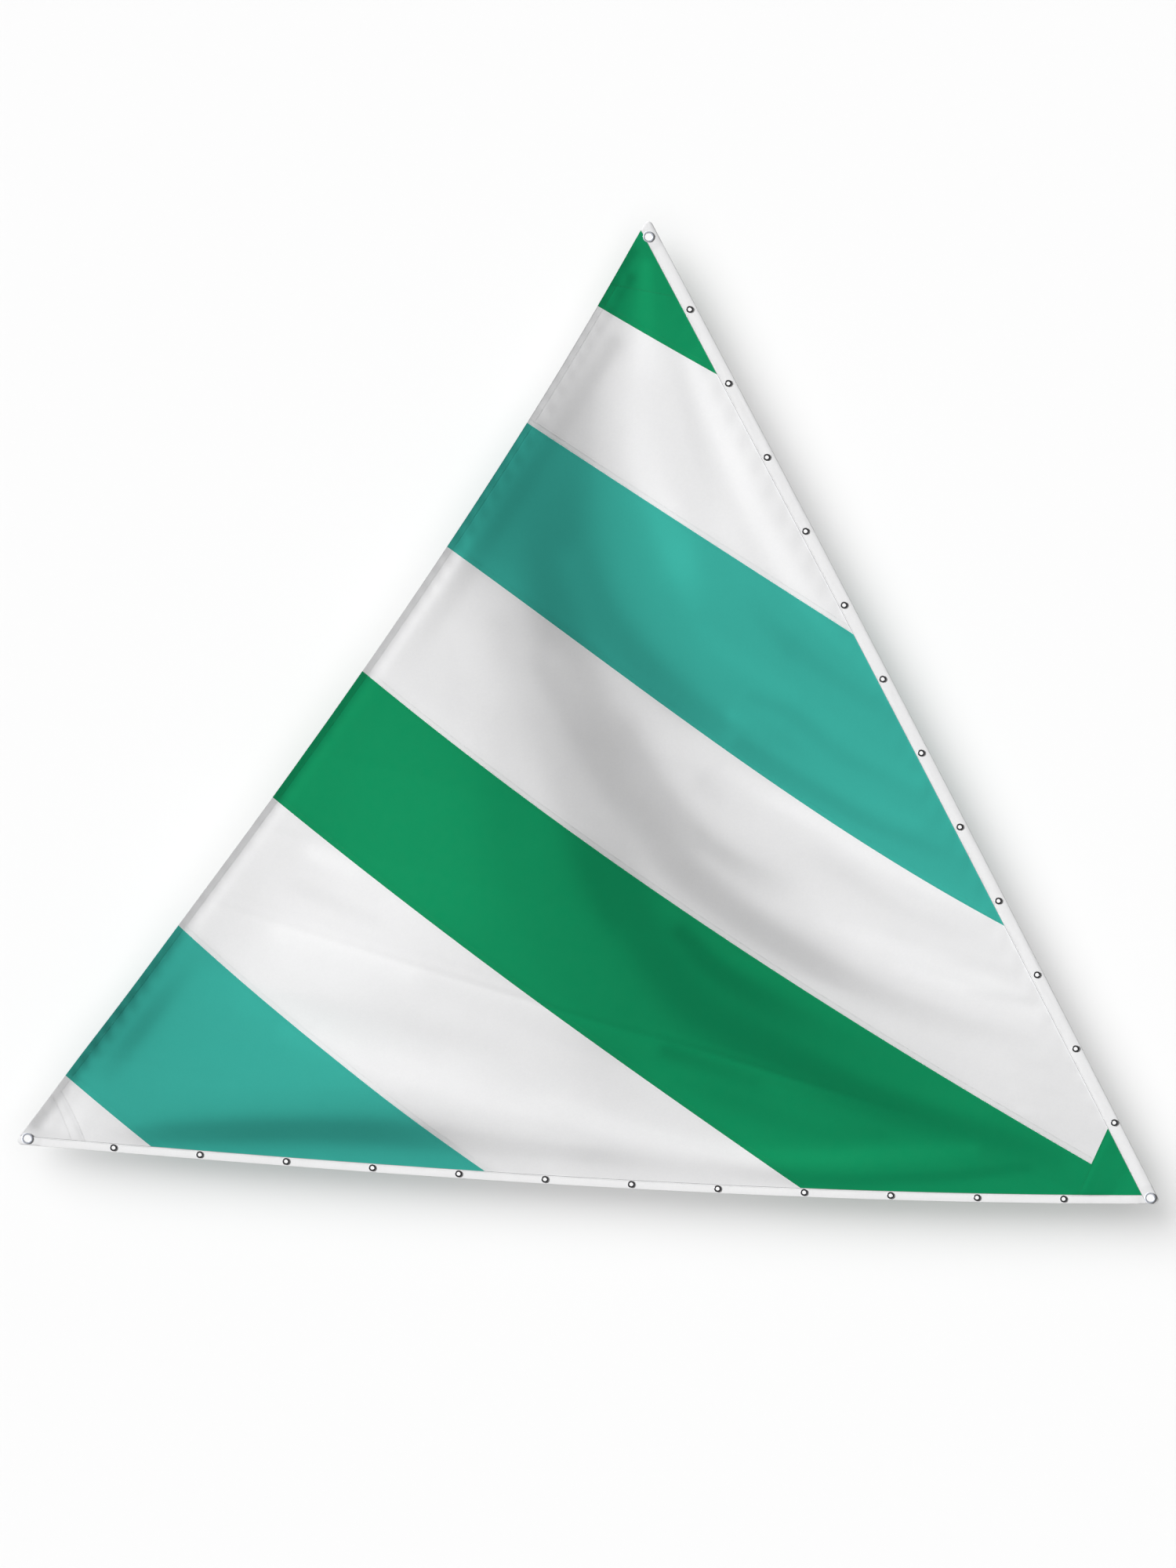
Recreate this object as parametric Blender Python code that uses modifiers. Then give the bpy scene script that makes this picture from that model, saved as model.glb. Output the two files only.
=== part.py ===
"""Three-cornered dinghy sail: eight lapped cloth panels, folded edge tapes,
corner patches and clinched eyelets.

Frame: metres, +Z up. The origin is the centre of the tack eyelet, the lower
corner where both spars meet. The sail stands in the XZ plane with its front
face towards -Y: the foot runs to -X and the head is up and to -X.
"""

import math

import bmesh
import bpy
from mathutils import Matrix, Vector

# ---------------------------------------------------------------- dimensions
HEAD = (-1.830, 3.506)  # centre of the head eyelet, x and z
TACK = (0.0, 0.0)
CLEW = (-4.096, 0.217)

# each edge: how far the finished edge stands outside the line of the corner
# eyelets at its first and its second corner, its round (hollow is negative)
# and the skew of that round
LUFF_OUT = (0.0343, 0.0257, 0.0092, 0.0)  # head to tack
FOOT_OUT = (0.0215, 0.0235, 0.0436, 0.25)  # tack to clew
LEECH_OUT = (0.0372, 0.0272, -0.0722, 0.317)  # head to clew
HEAD_ROUND = 0.009
TACK_ROUND = 0.016
CLEW_ROUND = 0.015

LUFF_TAPE_W = 0.048
FOOT_TAPE_W = 0.032
HEM_W = 0.025
LAP_W = 0.020

# seams between the panels: place on the leech as a share of its length from
# the head, place on the luff (0 to 1 from the head) or the foot (1 to 2 from
# the tack), sag below the straight line, skew of the sag
SEAMS = (
    (0.0783, 0.1393, 0.000, 0.0),
    (0.2039, 0.4104, 0.003, 0.0),
    (0.3383, 0.7170, 0.033, -0.6),
    (0.4754, 0.9940, 0.073, 0.3),
    (0.6151, 1.3047, 0.028, 0.2),
    (0.7630, 1.5932, 0.022, 0.0),
    (0.9320, 1.8874, 0.000, 0.0),
)
PANEL_NAMES = (
    "panel_1_head",
    "panel_2",
    "panel_3",
    "panel_4",
    "panel_5",
    "panel_6",
    "panel_7",
    "panel_8_clew",
)
PANEL_CLOTH = ("green", "white", "teal", "white", "green", "white", "teal", "white")
PANEL_ROWS = (3, 4, 5, 6, 6, 6, 6, 3)  # rows of the mesh between the laps
PANEL_COLUMNS = 12

CLOTH_T = 0.0003
GAP = 0.0003
LAYER = CLOTH_T + GAP

# shape of the cloth: it lies flat along both spars and stands off them by
# DEPTH behind a curved draft line that runs from the head to the tack
DEPTH = 0.11
DRAFT_REACH = 1.05  # of the draft line from the luff, at its furthest
DRAFT_POWER = 0.8
DRAFT_BAND = (0.62, 1.45)
SHELF = (0.036, 0.45)  # the cloth rises off the foot between these distances
HEAD_FLAT = (0.27, 1.9)
TACK_FLAT = (0.35, 0.95)
CLEW_FLAT = (0.25, 1.40)

EYELETS_PER_EDGE = 12
LUFF_EYELET_OUT = 0.0106  # of their line outside the line of the corner eyelets
FOOT_EYELET_IN = 0.0163  # from the finished edge

SMALL_HOLE_R = 0.00675
SMALL_BARREL_R = 0.0075
SMALL_FLANGE_R = 0.0125
BIG_HOLE_R = 0.0135
BIG_BARREL_R = 0.0150
BIG_LIP_R = 0.0180
BIG_FLANGE_R = 0.0200
FLANGE_T = 0.0008

# hidden edges of the cloth inside the tapes, just clear of the eyelets
LUFF_HIDE = 0.0365
FOOT_HIDE = 0.0250

# layers, front to back, as the middle of each cloth
LAP_OFFSET = LAYER / 2
FRONT_PATCH_Y = -0.0009
FRONT_PATCH_2_Y = -0.0015
BACK_PATCH_Y = 0.0009
HEM_Y = 0.0009
FOOT_TAPE_Y = (-0.0021, 0.0015)
LUFF_TAPE_Y = (-0.0027, 0.0021)

COLOURS = {
    "green": (0.0056, 0.2961, 0.1144),
    "teal": (0.0482, 0.4564, 0.3813),
    "white": (0.8550, 0.8550, 0.8632),
}


# ------------------------------------------------------------------ geometry
def smooth(t):
    t = min(max(t, 0.0), 1.0)
    return t * t * (3.0 - 2.0 * t)


def bow(s, rise, skew):
    return 4.0 * rise * s * (1.0 - s) * (1.0 + skew * (1.0 - 2.0 * s))


class Edge:
    """One finished edge of the sail between two corner eyelets."""

    def __init__(self, a, b, third, out):
        self.a, self.b = Vector(a), Vector(b)
        self.length = (self.b - self.a).length
        self.along = (self.b - self.a) / self.length
        n = Vector((-self.along.y, self.along.x))
        if n.dot(Vector(third) - self.a) > 0.0:
            n = -n
        self.normal = n
        self.out_a, self.out_b, self.rise, self.skew = out

    def out(self, s):
        t = min(max(s, -0.05), 1.05)
        inner = min(max(s, 0.0), 1.0)
        return (
            self.out_a
            + (self.out_b - self.out_a) * t
            + bow(inner, self.rise, self.skew)
        )

    def point(self, s, inset=0.0):
        return (
            self.a
            + self.along * (s * self.length)
            + self.normal * (self.out(s) - inset)
        )

    def place(self, p):
        """Share of the length, and the distance inside the finished edge."""
        s = (p - self.a).dot(self.along) / self.length
        return s, self.out(s) - (p - self.a).dot(self.normal)

    def inset(self, p):
        return self.place(p)[1]


luff = Edge(HEAD, TACK, CLEW, LUFF_OUT)
foot = Edge(TACK, CLEW, HEAD, FOOT_OUT)
leech = Edge(HEAD, CLEW, TACK, LEECH_OUT)


def solve(f, low, high):
    """Where f, negative at low and positive at high, is nought."""
    for _ in range(60):
        mid = (low + high) / 2.0
        if f(mid) < 0.0:
            low = mid
        else:
            high = mid
    return (low + high) / 2.0


def corner_margin(p, one, other, corner, radius):
    """Distance inside the outline near one rounded corner."""
    a, b = one.inset(p), other.inset(p)
    from_centre = p - corner_centre(one, other, corner, radius)
    past = [
        from_centre.dot(e.along if e.b == Vector(corner) else -e.along)
        for e in (one, other)
    ]
    if min(past) > 0.0:
        return radius - from_centre.length
    return min(a, b)


def corner_centre(one, other, corner, radius):
    """Centre of a corner's rounding: radius inside both of its edges."""
    p = Vector(corner)
    for _ in range(12):
        a, b = one.inset(p) - radius, other.inset(p) - radius
        n, m = one.normal, other.normal
        det = n.x * m.y - n.y * m.x
        p = p + Vector(((a * m.y - b * n.y) / det, (n.x * b - m.x * a) / det))
    return p


def margin(p):
    """How far a point is inside the sail's rounded outline."""
    return min(
        corner_margin(p, luff, leech, HEAD, HEAD_ROUND),
        corner_margin(p, luff, foot, TACK, TACK_ROUND),
        corner_margin(p, foot, leech, CLEW, CLEW_ROUND),
    )


def stand_off(p):
    """How far the cloth stands off the plane of the spars, towards -Y."""
    s, in_luff = luff.place(p)
    if s <= 0.0 or s >= 1.0:
        return 0.0
    reach = DRAFT_REACH * math.sin(math.pi * s) ** DRAFT_POWER
    low, high = DRAFT_BAND
    lift = smooth((in_luff / reach - low) / (high - low))
    lift *= smooth((foot.inset(p) - SHELF[0]) / (SHELF[1] - SHELF[0]))
    for corner, flat in ((HEAD, HEAD_FLAT), (TACK, TACK_FLAT), (CLEW, CLEW_FLAT)):
        r = (p - Vector(corner)).length
        lift *= smooth((r - flat[0]) / (flat[1] - flat[0]))
    return DEPTH * lift


def on_cloth(p, y):
    return Vector((p.x, y - stand_off(p), p.y))


# where the hidden edges of the cloth meet at the tack
def tack_inner():
    n, m = luff.normal, foot.normal
    p = Vector(TACK)
    for _ in range(12):
        a, b = luff.inset(p) - LUFF_HIDE, foot.inset(p) - FOOT_HIDE
        det = n.x * m.y - n.y * m.x
        p = p + Vector(((a * m.y - b * n.y) / det, (n.x * b - m.x * a) / det))
    return p


TACK_INNER = tack_inner()
TACK_ON_LUFF = luff.place(TACK_INNER)[0] - 0.002
TACK_ON_FOOT = foot.place(TACK_INNER)[0] + 0.002


def right_end(w):
    """The hidden edge of the cloth: 0 to 1 down the luff, 1 to 2 along the foot."""
    if w <= 1.0:
        return luff.point(min(w, TACK_ON_LUFF), LUFF_HIDE)
    return foot.point(max(w - 1.0, TACK_ON_FOOT), FOOT_HIDE)


class Row:
    """A line across the sail from the leech to the hidden edge at the spars."""

    def __init__(self, s, w, sag, skew):
        self.s, self.w, self.sag, self.skew = s, w, sag, skew
        self.a, self.b = leech.point(s), right_end(w)
        d = (self.b - self.a).normalized()
        self.down = Vector((d.y, -d.x))
        if self.down.y > 0.0:
            self.down = -self.down
        self.edge, self.clear = (luff, 0.056) if w <= 1.0 else (foot, 0.040)

    def point(self, u):
        return self.a.lerp(self.b, u) + self.down * bow(u, self.sag, self.skew)

    def columns(self, n):
        """Points of the row: the hem, even steps, and the stretch in the tape."""
        hem = solve(lambda u: leech.inset(self.point(u)) - HEM_W, 0.0, 0.9)
        tape = solve(
            lambda u: self.clear - self.edge.inset(self.point(u)), hem, 1.0
        )
        us = [0.0] + [hem + (tape - hem) * i / (n - 2) for i in range(n - 1)] + [1.0]
        return [self.point(u) for u in us]

    def lapped(self):
        """The same line, LAP_W further up the sail."""
        d = (self.b - self.a).normalized()
        edge = luff if self.w <= 1.0 else foot
        on_leech = LAP_W / abs(d.cross(leech.along)) / leech.length
        on_right = LAP_W / abs(d.cross(edge.along)) / edge.length
        w = self.w - on_right
        if self.w > 1.0 and w < 1.0 + TACK_ON_FOOT:
            w = 1.0 + TACK_ON_FOOT
        return Row(self.s - on_leech, w, self.sag, self.skew)


def between(one, other, t):
    def mix(a, b):
        return a + (b - a) * t

    return Row(
        mix(one.s, other.s),
        mix(one.w, other.w),
        mix(one.sag, other.sag),
        mix(one.skew, other.skew),
    )


def hidden_w(s, w):
    """Where a seam that leaves the tape's inner edge at w meets the hidden edge."""
    if w <= 1.0:
        edge, t, tape, hide = luff, w, LUFF_TAPE_W, LUFF_HIDE
    else:
        edge, t, tape, hide = foot, w - 1.0, FOOT_TAPE_W, FOOT_HIDE
    d = (edge.point(t, tape) - leech.point(s)).normalized()
    on = (tape - hide) * d.dot(edge.along) / d.dot(edge.normal)
    out = t + on / edge.length
    if w <= 1.0:
        return min(out, TACK_ON_LUFF)
    return 1.0 + out


seam_rows = [Row(s, hidden_w(s, w), sag, skew) for s, w, sag, skew in SEAMS]
TOP_ROW = Row(0.0075, 0.0075, 0.0, 0.0)
BOTTOM_ROW = Row(0.9915, 1.9925, 0.0, 0.0)


# ------------------------------------------------------------- scene helpers
def clear_scene():
    for obj in list(bpy.data.objects):
        bpy.data.objects.remove(obj, do_unlink=True)


def make_collection(name):
    collection = bpy.data.collections.new(name)
    bpy.context.scene.collection.children.link(collection)
    return collection


def make_material(name, colour, roughness, metallic=0.0):
    material = bpy.data.materials.new(name)
    material.use_nodes = True
    shader = material.node_tree.nodes["Principled BSDF"]
    shader.inputs["Base Color"].default_value = (*colour, 1.0)
    shader.inputs["Roughness"].default_value = roughness
    shader.inputs["Metallic"].default_value = metallic
    return material


def cloth_material(name, colour):
    return make_material(name, COLOURS[colour], 0.55)


def add_object(name, mesh, collection, material=None):
    obj = bpy.data.objects.new(name, mesh)
    collection.objects.link(obj)
    if material is not None:
        obj.data.materials.append(material)
    return obj


def add_solidify(obj, thickness):
    solid = obj.modifiers.new("thickness", "SOLIDIFY")
    solid.thickness = thickness
    solid.offset = 0.0
    solid.use_even_offset = False
    solid.use_rim = True


def sheet(name, points, collection, material, thickness=CLOTH_T):
    """A grid whose rows and columns are laid on points[row][column]."""
    rows, columns = len(points), len(points[0])
    bm = bmesh.new()
    bmesh.ops.create_grid(
        bm, x_segments=columns - 1, y_segments=rows - 1, size=0.5
    )
    for v in bm.verts:
        j = round((v.co.x + 0.5) * (columns - 1))
        i = round((v.co.y + 0.5) * (rows - 1))
        v.co = points[i][j]
    bmesh.ops.triangulate(bm, faces=bm.faces, quad_method="FIXED")
    bmesh.ops.recalc_face_normals(bm, faces=bm.faces)
    mesh = bpy.data.meshes.new(name)
    bm.to_mesh(mesh)
    bm.free()
    obj = add_object(name, mesh, collection, material)
    add_solidify(obj, thickness)
    return obj


def hole_cutter(name, centres, radius, sides, collection):
    """Upright cylinders through the cloth, along Y."""
    bm = bmesh.new()
    for centre in centres:
        place = Matrix.Translation((centre.x, 0.0, centre.y)) @ Matrix.Rotation(
            math.pi / 2.0, 4, "X"
        )
        bmesh.ops.create_cone(
            bm,
            cap_ends=True,
            segments=sides,
            radius1=radius,
            radius2=radius,
            depth=0.03,
            matrix=place,
        )
    mesh = bpy.data.meshes.new(name)
    bm.to_mesh(mesh)
    bm.free()
    obj = add_object(name, mesh, collection)
    obj.hide_render = True
    obj.display_type = "WIRE"
    return obj


def cut(obj, cutter):
    boolean = obj.modifiers.new("holes", "BOOLEAN")
    boolean.operation = "DIFFERENCE"
    boolean.solver = "EXACT"
    boolean.object = cutter


def turned(name, profile, sides):
    """A closed ring profile, (radius, height) pairs, turned about Z."""
    bm = bmesh.new()
    verts = [bm.verts.new((r, 0.0, h)) for r, h in reversed(profile)]
    for a, b in zip(verts, verts[1:] + verts[:1]):
        bm.edges.new((a, b))
    mesh = bpy.data.meshes.new(name)
    bm.to_mesh(mesh)
    bm.free()
    mesh["sides"] = sides
    return mesh


def place_turned(name, mesh, centre, collection, material):
    obj = bpy.data.objects.new(name, mesh)
    collection.objects.link(obj)
    if not mesh.materials:
        mesh.materials.append(material)
    screw = obj.modifiers.new("turn", "SCREW")
    screw.axis = "Z"
    screw.angle = 2.0 * math.pi
    screw.steps = mesh["sides"]
    screw.render_steps = mesh["sides"]
    screw.use_merge_vertices = True
    screw.merge_threshold = 0.00001
    screw.use_smooth_shade = False
    obj.rotation_euler = (math.pi / 2.0, 0.0, 0.0)
    obj.location = (centre.x, 0.0, centre.y)
    return obj


# ------------------------------------------------------------------- pieces
def panel_rows(index):
    """The rows of one panel, and how far each lies from the middle layer."""
    rows = []
    if index == 0:
        top = [(TOP_ROW, 0.0)]
        first = TOP_ROW
    else:
        above = seam_rows[index - 1]
        top = [(above.lapped(), LAP_OFFSET), (above, LAP_OFFSET)]
        first = above
    if index == len(seam_rows):
        bottom = [(BOTTOM_ROW, 0.0)]
        last = BOTTOM_ROW
    else:
        below = seam_rows[index]
        bottom = [(below.lapped(), -LAP_OFFSET), (below, -LAP_OFFSET)]
        last = below.lapped()
    rows += top
    n = PANEL_ROWS[index]
    if index == 4:
        # the first free row of the band that ends at the tack turns the corner
        first = Row(first.s, 1.0 + TACK_ON_FOOT, first.sag, first.skew)
    for i in range(1, n):
        rows.append((between(first, last, i / n), 0.0))
    return rows + bottom


def make_panels(collection):
    for index, name in enumerate(PANEL_NAMES):
        grid = []
        for row, y in panel_rows(index):
            grid.append([on_cloth(p, y) for p in row.columns(PANEL_COLUMNS)])
        material = cloth_material(name + "_cloth", PANEL_CLOTH[index])
        sheet(name, grid, collection, material)


def make_hem(collection):
    """The tabling behind the leech, on the same rows as the panels."""
    rows = []
    for index in range(len(PANEL_NAMES)):
        for row, _ in panel_rows(index):
            rows.append(row)
    rows.sort(key=lambda row: row.s)
    kept = []
    for row in rows:
        if row.s < 0.009 or row.s > 0.9925:
            continue
        if not kept or row.s - kept[-1].s > 1e-6:
            kept.append(row)
    grid = []
    for row in kept:
        points = row.columns(PANEL_COLUMNS)
        inner = points[0].lerp(points[1], 0.96)
        outer = points[0].lerp(points[1], 0.02)
        grid.append([on_line(points, outer, HEM_Y), on_line(points, inner, HEM_Y)])
    sheet("leech_hem", grid, collection, cloth_material("leech_hem_cloth", "white"))


def on_line(points, p, y):
    """A point on the straight line between a row's first two points."""
    a, b = on_cloth(points[0], y), on_cloth(points[1], y)
    t = (p - points[0]).length / (points[1] - points[0]).length
    return a.lerp(b, t)


def fan(one, other, s_one, s_other, hide, start, n_rows, n_columns, y, arc=0.0):
    """A corner patch: lines from one edge to the other, from the corner out."""
    grid = []
    for i in range(n_rows):
        t = start + (1.0 - start) * i / (n_rows - 1)
        near = 0.006
        ease = smooth(t * 2.0)
        a = one.point(s_one[0] + (s_one[1] - s_one[0]) * t,
                      near + (hide[0] - near) * ease)
        b = other.point(s_other[0] + (s_other[1] - s_other[0]) * t,
                        near + (hide[1] - near) * ease)
        d = (b - a).normalized()
        away = Vector((d.y, -d.x))
        middle = (a + b) / 2.0 - (one.a if one.a == other.a else one.b)
        if away.dot(middle) < 0.0:
            away = -away
        line = []
        for j in range(n_columns):
            u = j / (n_columns - 1)
            p = a.lerp(b, u) + away * (arc * t * 4.0 * u * (1.0 - u))
            line.append(Vector((p.x, y, p.y)))
        grid.append(line)
    return grid


def make_patches(collection, cutters):
    big = BIG_BARREL_R + GAP
    head_cut = hole_cutter("cut_head", [Vector(HEAD)], big * 1.02, 16, cutters)
    tack_cut = hole_cutter("cut_tack", [Vector(TACK)], big * 1.02, 16, cutters)
    clew_cut = hole_cutter("cut_clew", [Vector(CLEW)], big * 1.02, 16, cutters)

    head_big = fan(leech, luff, (-0.001, 0.056), (-0.001, 0.0635),
                   (0.0006, LUFF_HIDE), 0.0, 8, 6, FRONT_PATCH_Y)
    head_small = fan(leech, luff, (0.000, 0.036), (0.000, 0.041),
                     (0.0275, LUFF_HIDE), 0.0, 7, 6, BACK_PATCH_Y)
    for name, grid in (("head_patch", head_big), ("head_patch_inner", head_small)):
        obj = sheet(name, grid, collection, cloth_material(name + "_cloth", "green"))
        cut(obj, head_cut)

    tack_big = fan(luff, foot, (0.9985, 0.9227), (0.0015, 0.0657),
                   (LUFF_HIDE, FOOT_HIDE), 0.0, 8, 6, FRONT_PATCH_Y)
    tack_small = fan(luff, foot, (0.9985, 0.956), (0.0015, 0.0400),
                     (LUFF_HIDE, FOOT_HIDE), 0.0, 7, 6, BACK_PATCH_Y)
    for name, grid in (("tack_patch", tack_big), ("tack_patch_inner", tack_small)):
        obj = sheet(name, grid, collection, cloth_material(name + "_cloth", "green"))
        cut(obj, tack_cut)

    clew_big = fan(leech, foot, (0.9975, 0.9438), (0.9985, 0.9478),
                   (0.0006, FOOT_HIDE), 0.0, 8, 6, FRONT_PATCH_Y, 0.006)
    clew_small = fan(leech, foot, (0.9975, 0.9540), (0.9985, 0.9602),
                     (0.0006, FOOT_HIDE), 0.0, 7, 6, FRONT_PATCH_2_Y, 0.005)
    for name, grid in (("clew_patch", clew_big), ("clew_patch_inner", clew_small)):
        obj = sheet(name, grid, collection, cloth_material(name + "_cloth", "white"))
        cut(obj, clew_cut)


def fold_profile(width, ys):
    """Across a folded tape: front leaf, round fold at the edge, back leaf."""
    front, back = ys
    r = (back - front) / 2.0
    middle = (front + back) / 2.0
    points = [(width, front), (width * 0.5, front), (0.010, front), (0.005, front)]
    for k in range(5):
        a = math.pi * k / 4.0
        points.append((r - r * math.sin(a), middle - r * math.cos(a)))
    points += [(0.005, back), (0.010, back), (width * 0.5, back), (width, back)]
    return points


def tape_grid(edge, width, ys, limit_a, limit_b, stations):
    """A folded tape along one edge, its ends trimmed to the corners' outline."""
    grid = []
    for inset, y in fold_profile(width, ys):
        s0 = solve(lambda s: limit_a(edge.point(s, inset)), -0.03, 0.2)
        s1 = solve(lambda s: -limit_b(edge.point(s, inset)), 0.8, 1.03)
        line = []
        for i in range(stations):
            p = edge.point(s0 + (s1 - s0) * i / (stations - 1), inset)
            line.append(Vector((p.x, y, p.y)))
        grid.append(line)
    return grid


def make_tapes(collection, cutters, luff_centres, foot_centres):
    def at_outline(p):
        return margin(p) - 0.0002

    def inside_luff(p):
        return min(margin(p) - 0.0012, luff.inset(p) - 0.0060)

    def nose(edge, f):
        """The fold itself stands on the edge, so only the other edge trims it."""
        def g(p):
            s, inset = edge.place(p)
            if inset < 0.0012:
                p = edge.point(s, 0.0012)
            return f(p)
        return g

    grid = tape_grid(luff, LUFF_TAPE_W, LUFF_TAPE_Y,
                     nose(luff, at_outline), nose(luff, at_outline), 15)
    obj = sheet("luff_tape", grid, collection,
                cloth_material("luff_tape_cloth", "white"))
    small = hole_cutter("cut_luff", luff_centres,
                        (SMALL_BARREL_R + GAP) / math.cos(math.pi / 8.0), 8, cutters)
    big = hole_cutter("cut_luff_ends", [Vector(HEAD), Vector(TACK)],
                      (BIG_BARREL_R + GAP) * 1.02, 16, cutters)
    cut(obj, small)
    cut(obj, big)

    grid = tape_grid(foot, FOOT_TAPE_W, FOOT_TAPE_Y,
                     nose(foot, inside_luff), nose(foot, at_outline), 15)
    obj = sheet("foot_tape", grid, collection,
                cloth_material("foot_tape_cloth", "white"))
    small = hole_cutter("cut_foot", foot_centres,
                        (SMALL_BARREL_R + GAP) / math.cos(math.pi / 8.0), 8, cutters)
    big = hole_cutter("cut_foot_ends", [Vector(TACK), Vector(CLEW)],
                      (BIG_BARREL_R + GAP) * 1.02, 16, cutters)
    cut(obj, small)
    cut(obj, big)


def eyelet_profile(hole, barrel, flange, lip, front, back):
    """Turned about Z with the front up: flange, barrel and rolled back lip."""
    f, b = front + GAP, -(back + GAP)
    return [
        (hole, f + FLANGE_T),
        (hole, b - FLANGE_T),
        (lip, b - FLANGE_T),
        (lip, b),
        (barrel, b),
        (barrel, f),
        (flange, f),
        (flange, f + FLANGE_T),
    ]


def washer_profile(inner, outer, low):
    return [(inner, -low), (inner, -low - FLANGE_T),
            (outer, -low - FLANGE_T), (outer, -low)]


def edge_eyelets():
    luff_centres, foot_centres = [], []
    for k in range(1, EYELETS_PER_EDGE + 1):
        t = k / (EYELETS_PER_EDGE + 1)
        luff_centres.append(
            luff.a + luff.along * (t * luff.length) + luff.normal * LUFF_EYELET_OUT
        )
        foot_centres.append(foot.point(t, FOOT_EYELET_IN))
    return luff_centres, foot_centres


def make_eyelets(collection, luff_centres, foot_centres):
    half = CLOTH_T / 2.0
    metal = make_material("eyelet_metal", (0.33, 0.33, 0.34), 0.32, 1.0)
    bright = make_material("corner_eyelet_metal", (0.72, 0.72, 0.73), 0.28, 1.0)

    def stack(ys):
        return -(ys[0] - half), ys[1] + half

    front, back = stack(LUFF_TAPE_Y)
    mesh = turned("luff_eyelet", eyelet_profile(
        SMALL_HOLE_R, SMALL_BARREL_R, SMALL_FLANGE_R, SMALL_FLANGE_R - 0.0005,
        front, back), 12)
    for k, centre in enumerate(luff_centres, 1):
        place_turned("luff_eyelet_%02d" % k, mesh, centre, collection, metal)

    front, back = stack(FOOT_TAPE_Y)
    mesh = turned("foot_eyelet", eyelet_profile(
        SMALL_HOLE_R, SMALL_BARREL_R, SMALL_FLANGE_R, SMALL_FLANGE_R - 0.0005,
        front, back), 12)
    for k, centre in enumerate(foot_centres, 1):
        place_turned("foot_eyelet_%02d" % k, mesh, centre, collection, metal)

    for corner, centre, ys in (("head", HEAD, LUFF_TAPE_Y), ("tack", TACK, LUFF_TAPE_Y),
                               ("clew", CLEW, FOOT_TAPE_Y)):
        front, back = stack(ys)
        mesh = turned(corner + "_eyelet", eyelet_profile(
            BIG_HOLE_R, BIG_BARREL_R, BIG_FLANGE_R, BIG_LIP_R,
            front, back + GAP + FLANGE_T), 16)
        place_turned(corner + "_eyelet", mesh, Vector(centre), collection, bright)
        mesh = turned(corner + "_eyelet_washer", washer_profile(
            BIG_BARREL_R + GAP, BIG_FLANGE_R, back + GAP), 16)
        place_turned(corner + "_eyelet_washer", mesh, Vector(centre), collection,
                     bright)


def main():
    clear_scene()
    collection = make_collection("dinghy_sail")
    cutters = make_collection("cutters")
    luff_centres, foot_centres = edge_eyelets()
    make_panels(collection)
    make_hem(collection)
    make_patches(collection, cutters)
    make_tapes(collection, cutters, luff_centres, foot_centres)
    make_eyelets(collection, luff_centres, foot_centres)


main()
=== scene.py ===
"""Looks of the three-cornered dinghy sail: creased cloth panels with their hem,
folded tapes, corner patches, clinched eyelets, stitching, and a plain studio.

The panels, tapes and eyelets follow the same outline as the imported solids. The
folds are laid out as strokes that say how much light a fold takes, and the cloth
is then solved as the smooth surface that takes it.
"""

import math

import bpy
import numpy as np
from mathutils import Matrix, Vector


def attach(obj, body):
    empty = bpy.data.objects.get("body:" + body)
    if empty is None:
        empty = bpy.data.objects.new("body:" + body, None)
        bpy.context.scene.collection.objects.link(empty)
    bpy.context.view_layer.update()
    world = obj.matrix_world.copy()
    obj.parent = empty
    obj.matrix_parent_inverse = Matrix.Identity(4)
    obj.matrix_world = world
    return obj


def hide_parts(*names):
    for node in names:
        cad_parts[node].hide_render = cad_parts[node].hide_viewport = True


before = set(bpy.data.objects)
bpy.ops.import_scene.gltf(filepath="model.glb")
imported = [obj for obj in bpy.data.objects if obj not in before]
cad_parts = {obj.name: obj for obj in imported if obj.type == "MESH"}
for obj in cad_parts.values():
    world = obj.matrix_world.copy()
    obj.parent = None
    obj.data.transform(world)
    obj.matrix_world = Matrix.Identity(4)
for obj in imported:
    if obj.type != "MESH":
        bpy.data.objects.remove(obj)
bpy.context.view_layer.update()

# ------------------------------------------------------------------ outline
HEAD = (-1.830, 3.506)  # centre of the head eyelet, x and z
TACK = (0.0, 0.0)
CLEW = (-4.096, 0.217)

LUFF_OUT = (0.0343, 0.0257, 0.0092, 0.0)
FOOT_OUT = (0.0215, 0.0235, 0.0436, 0.25)
LEECH_OUT = (0.0372, 0.0272, -0.0722, 0.317)
HEAD_ROUND = 0.009
TACK_ROUND = 0.016
CLEW_ROUND = 0.015

LUFF_TAPE_W = 0.048
FOOT_TAPE_W = 0.032
HEM_W = 0.025
LAP_W = 0.020
LUFF_HIDE = 0.0365
FOOT_HIDE = 0.0250

SEAMS = (
    (0.0783, 0.1393, 0.000, 0.0),
    (0.2039, 0.4104, 0.003, 0.0),
    (0.3383, 0.7170, 0.033, -0.6),
    (0.4754, 0.9940, 0.073, 0.3),
    (0.6151, 1.3047, 0.028, 0.2),
    (0.7630, 1.5932, 0.022, 0.0),
    (0.9320, 1.8874, 0.000, 0.0),
)
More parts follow.
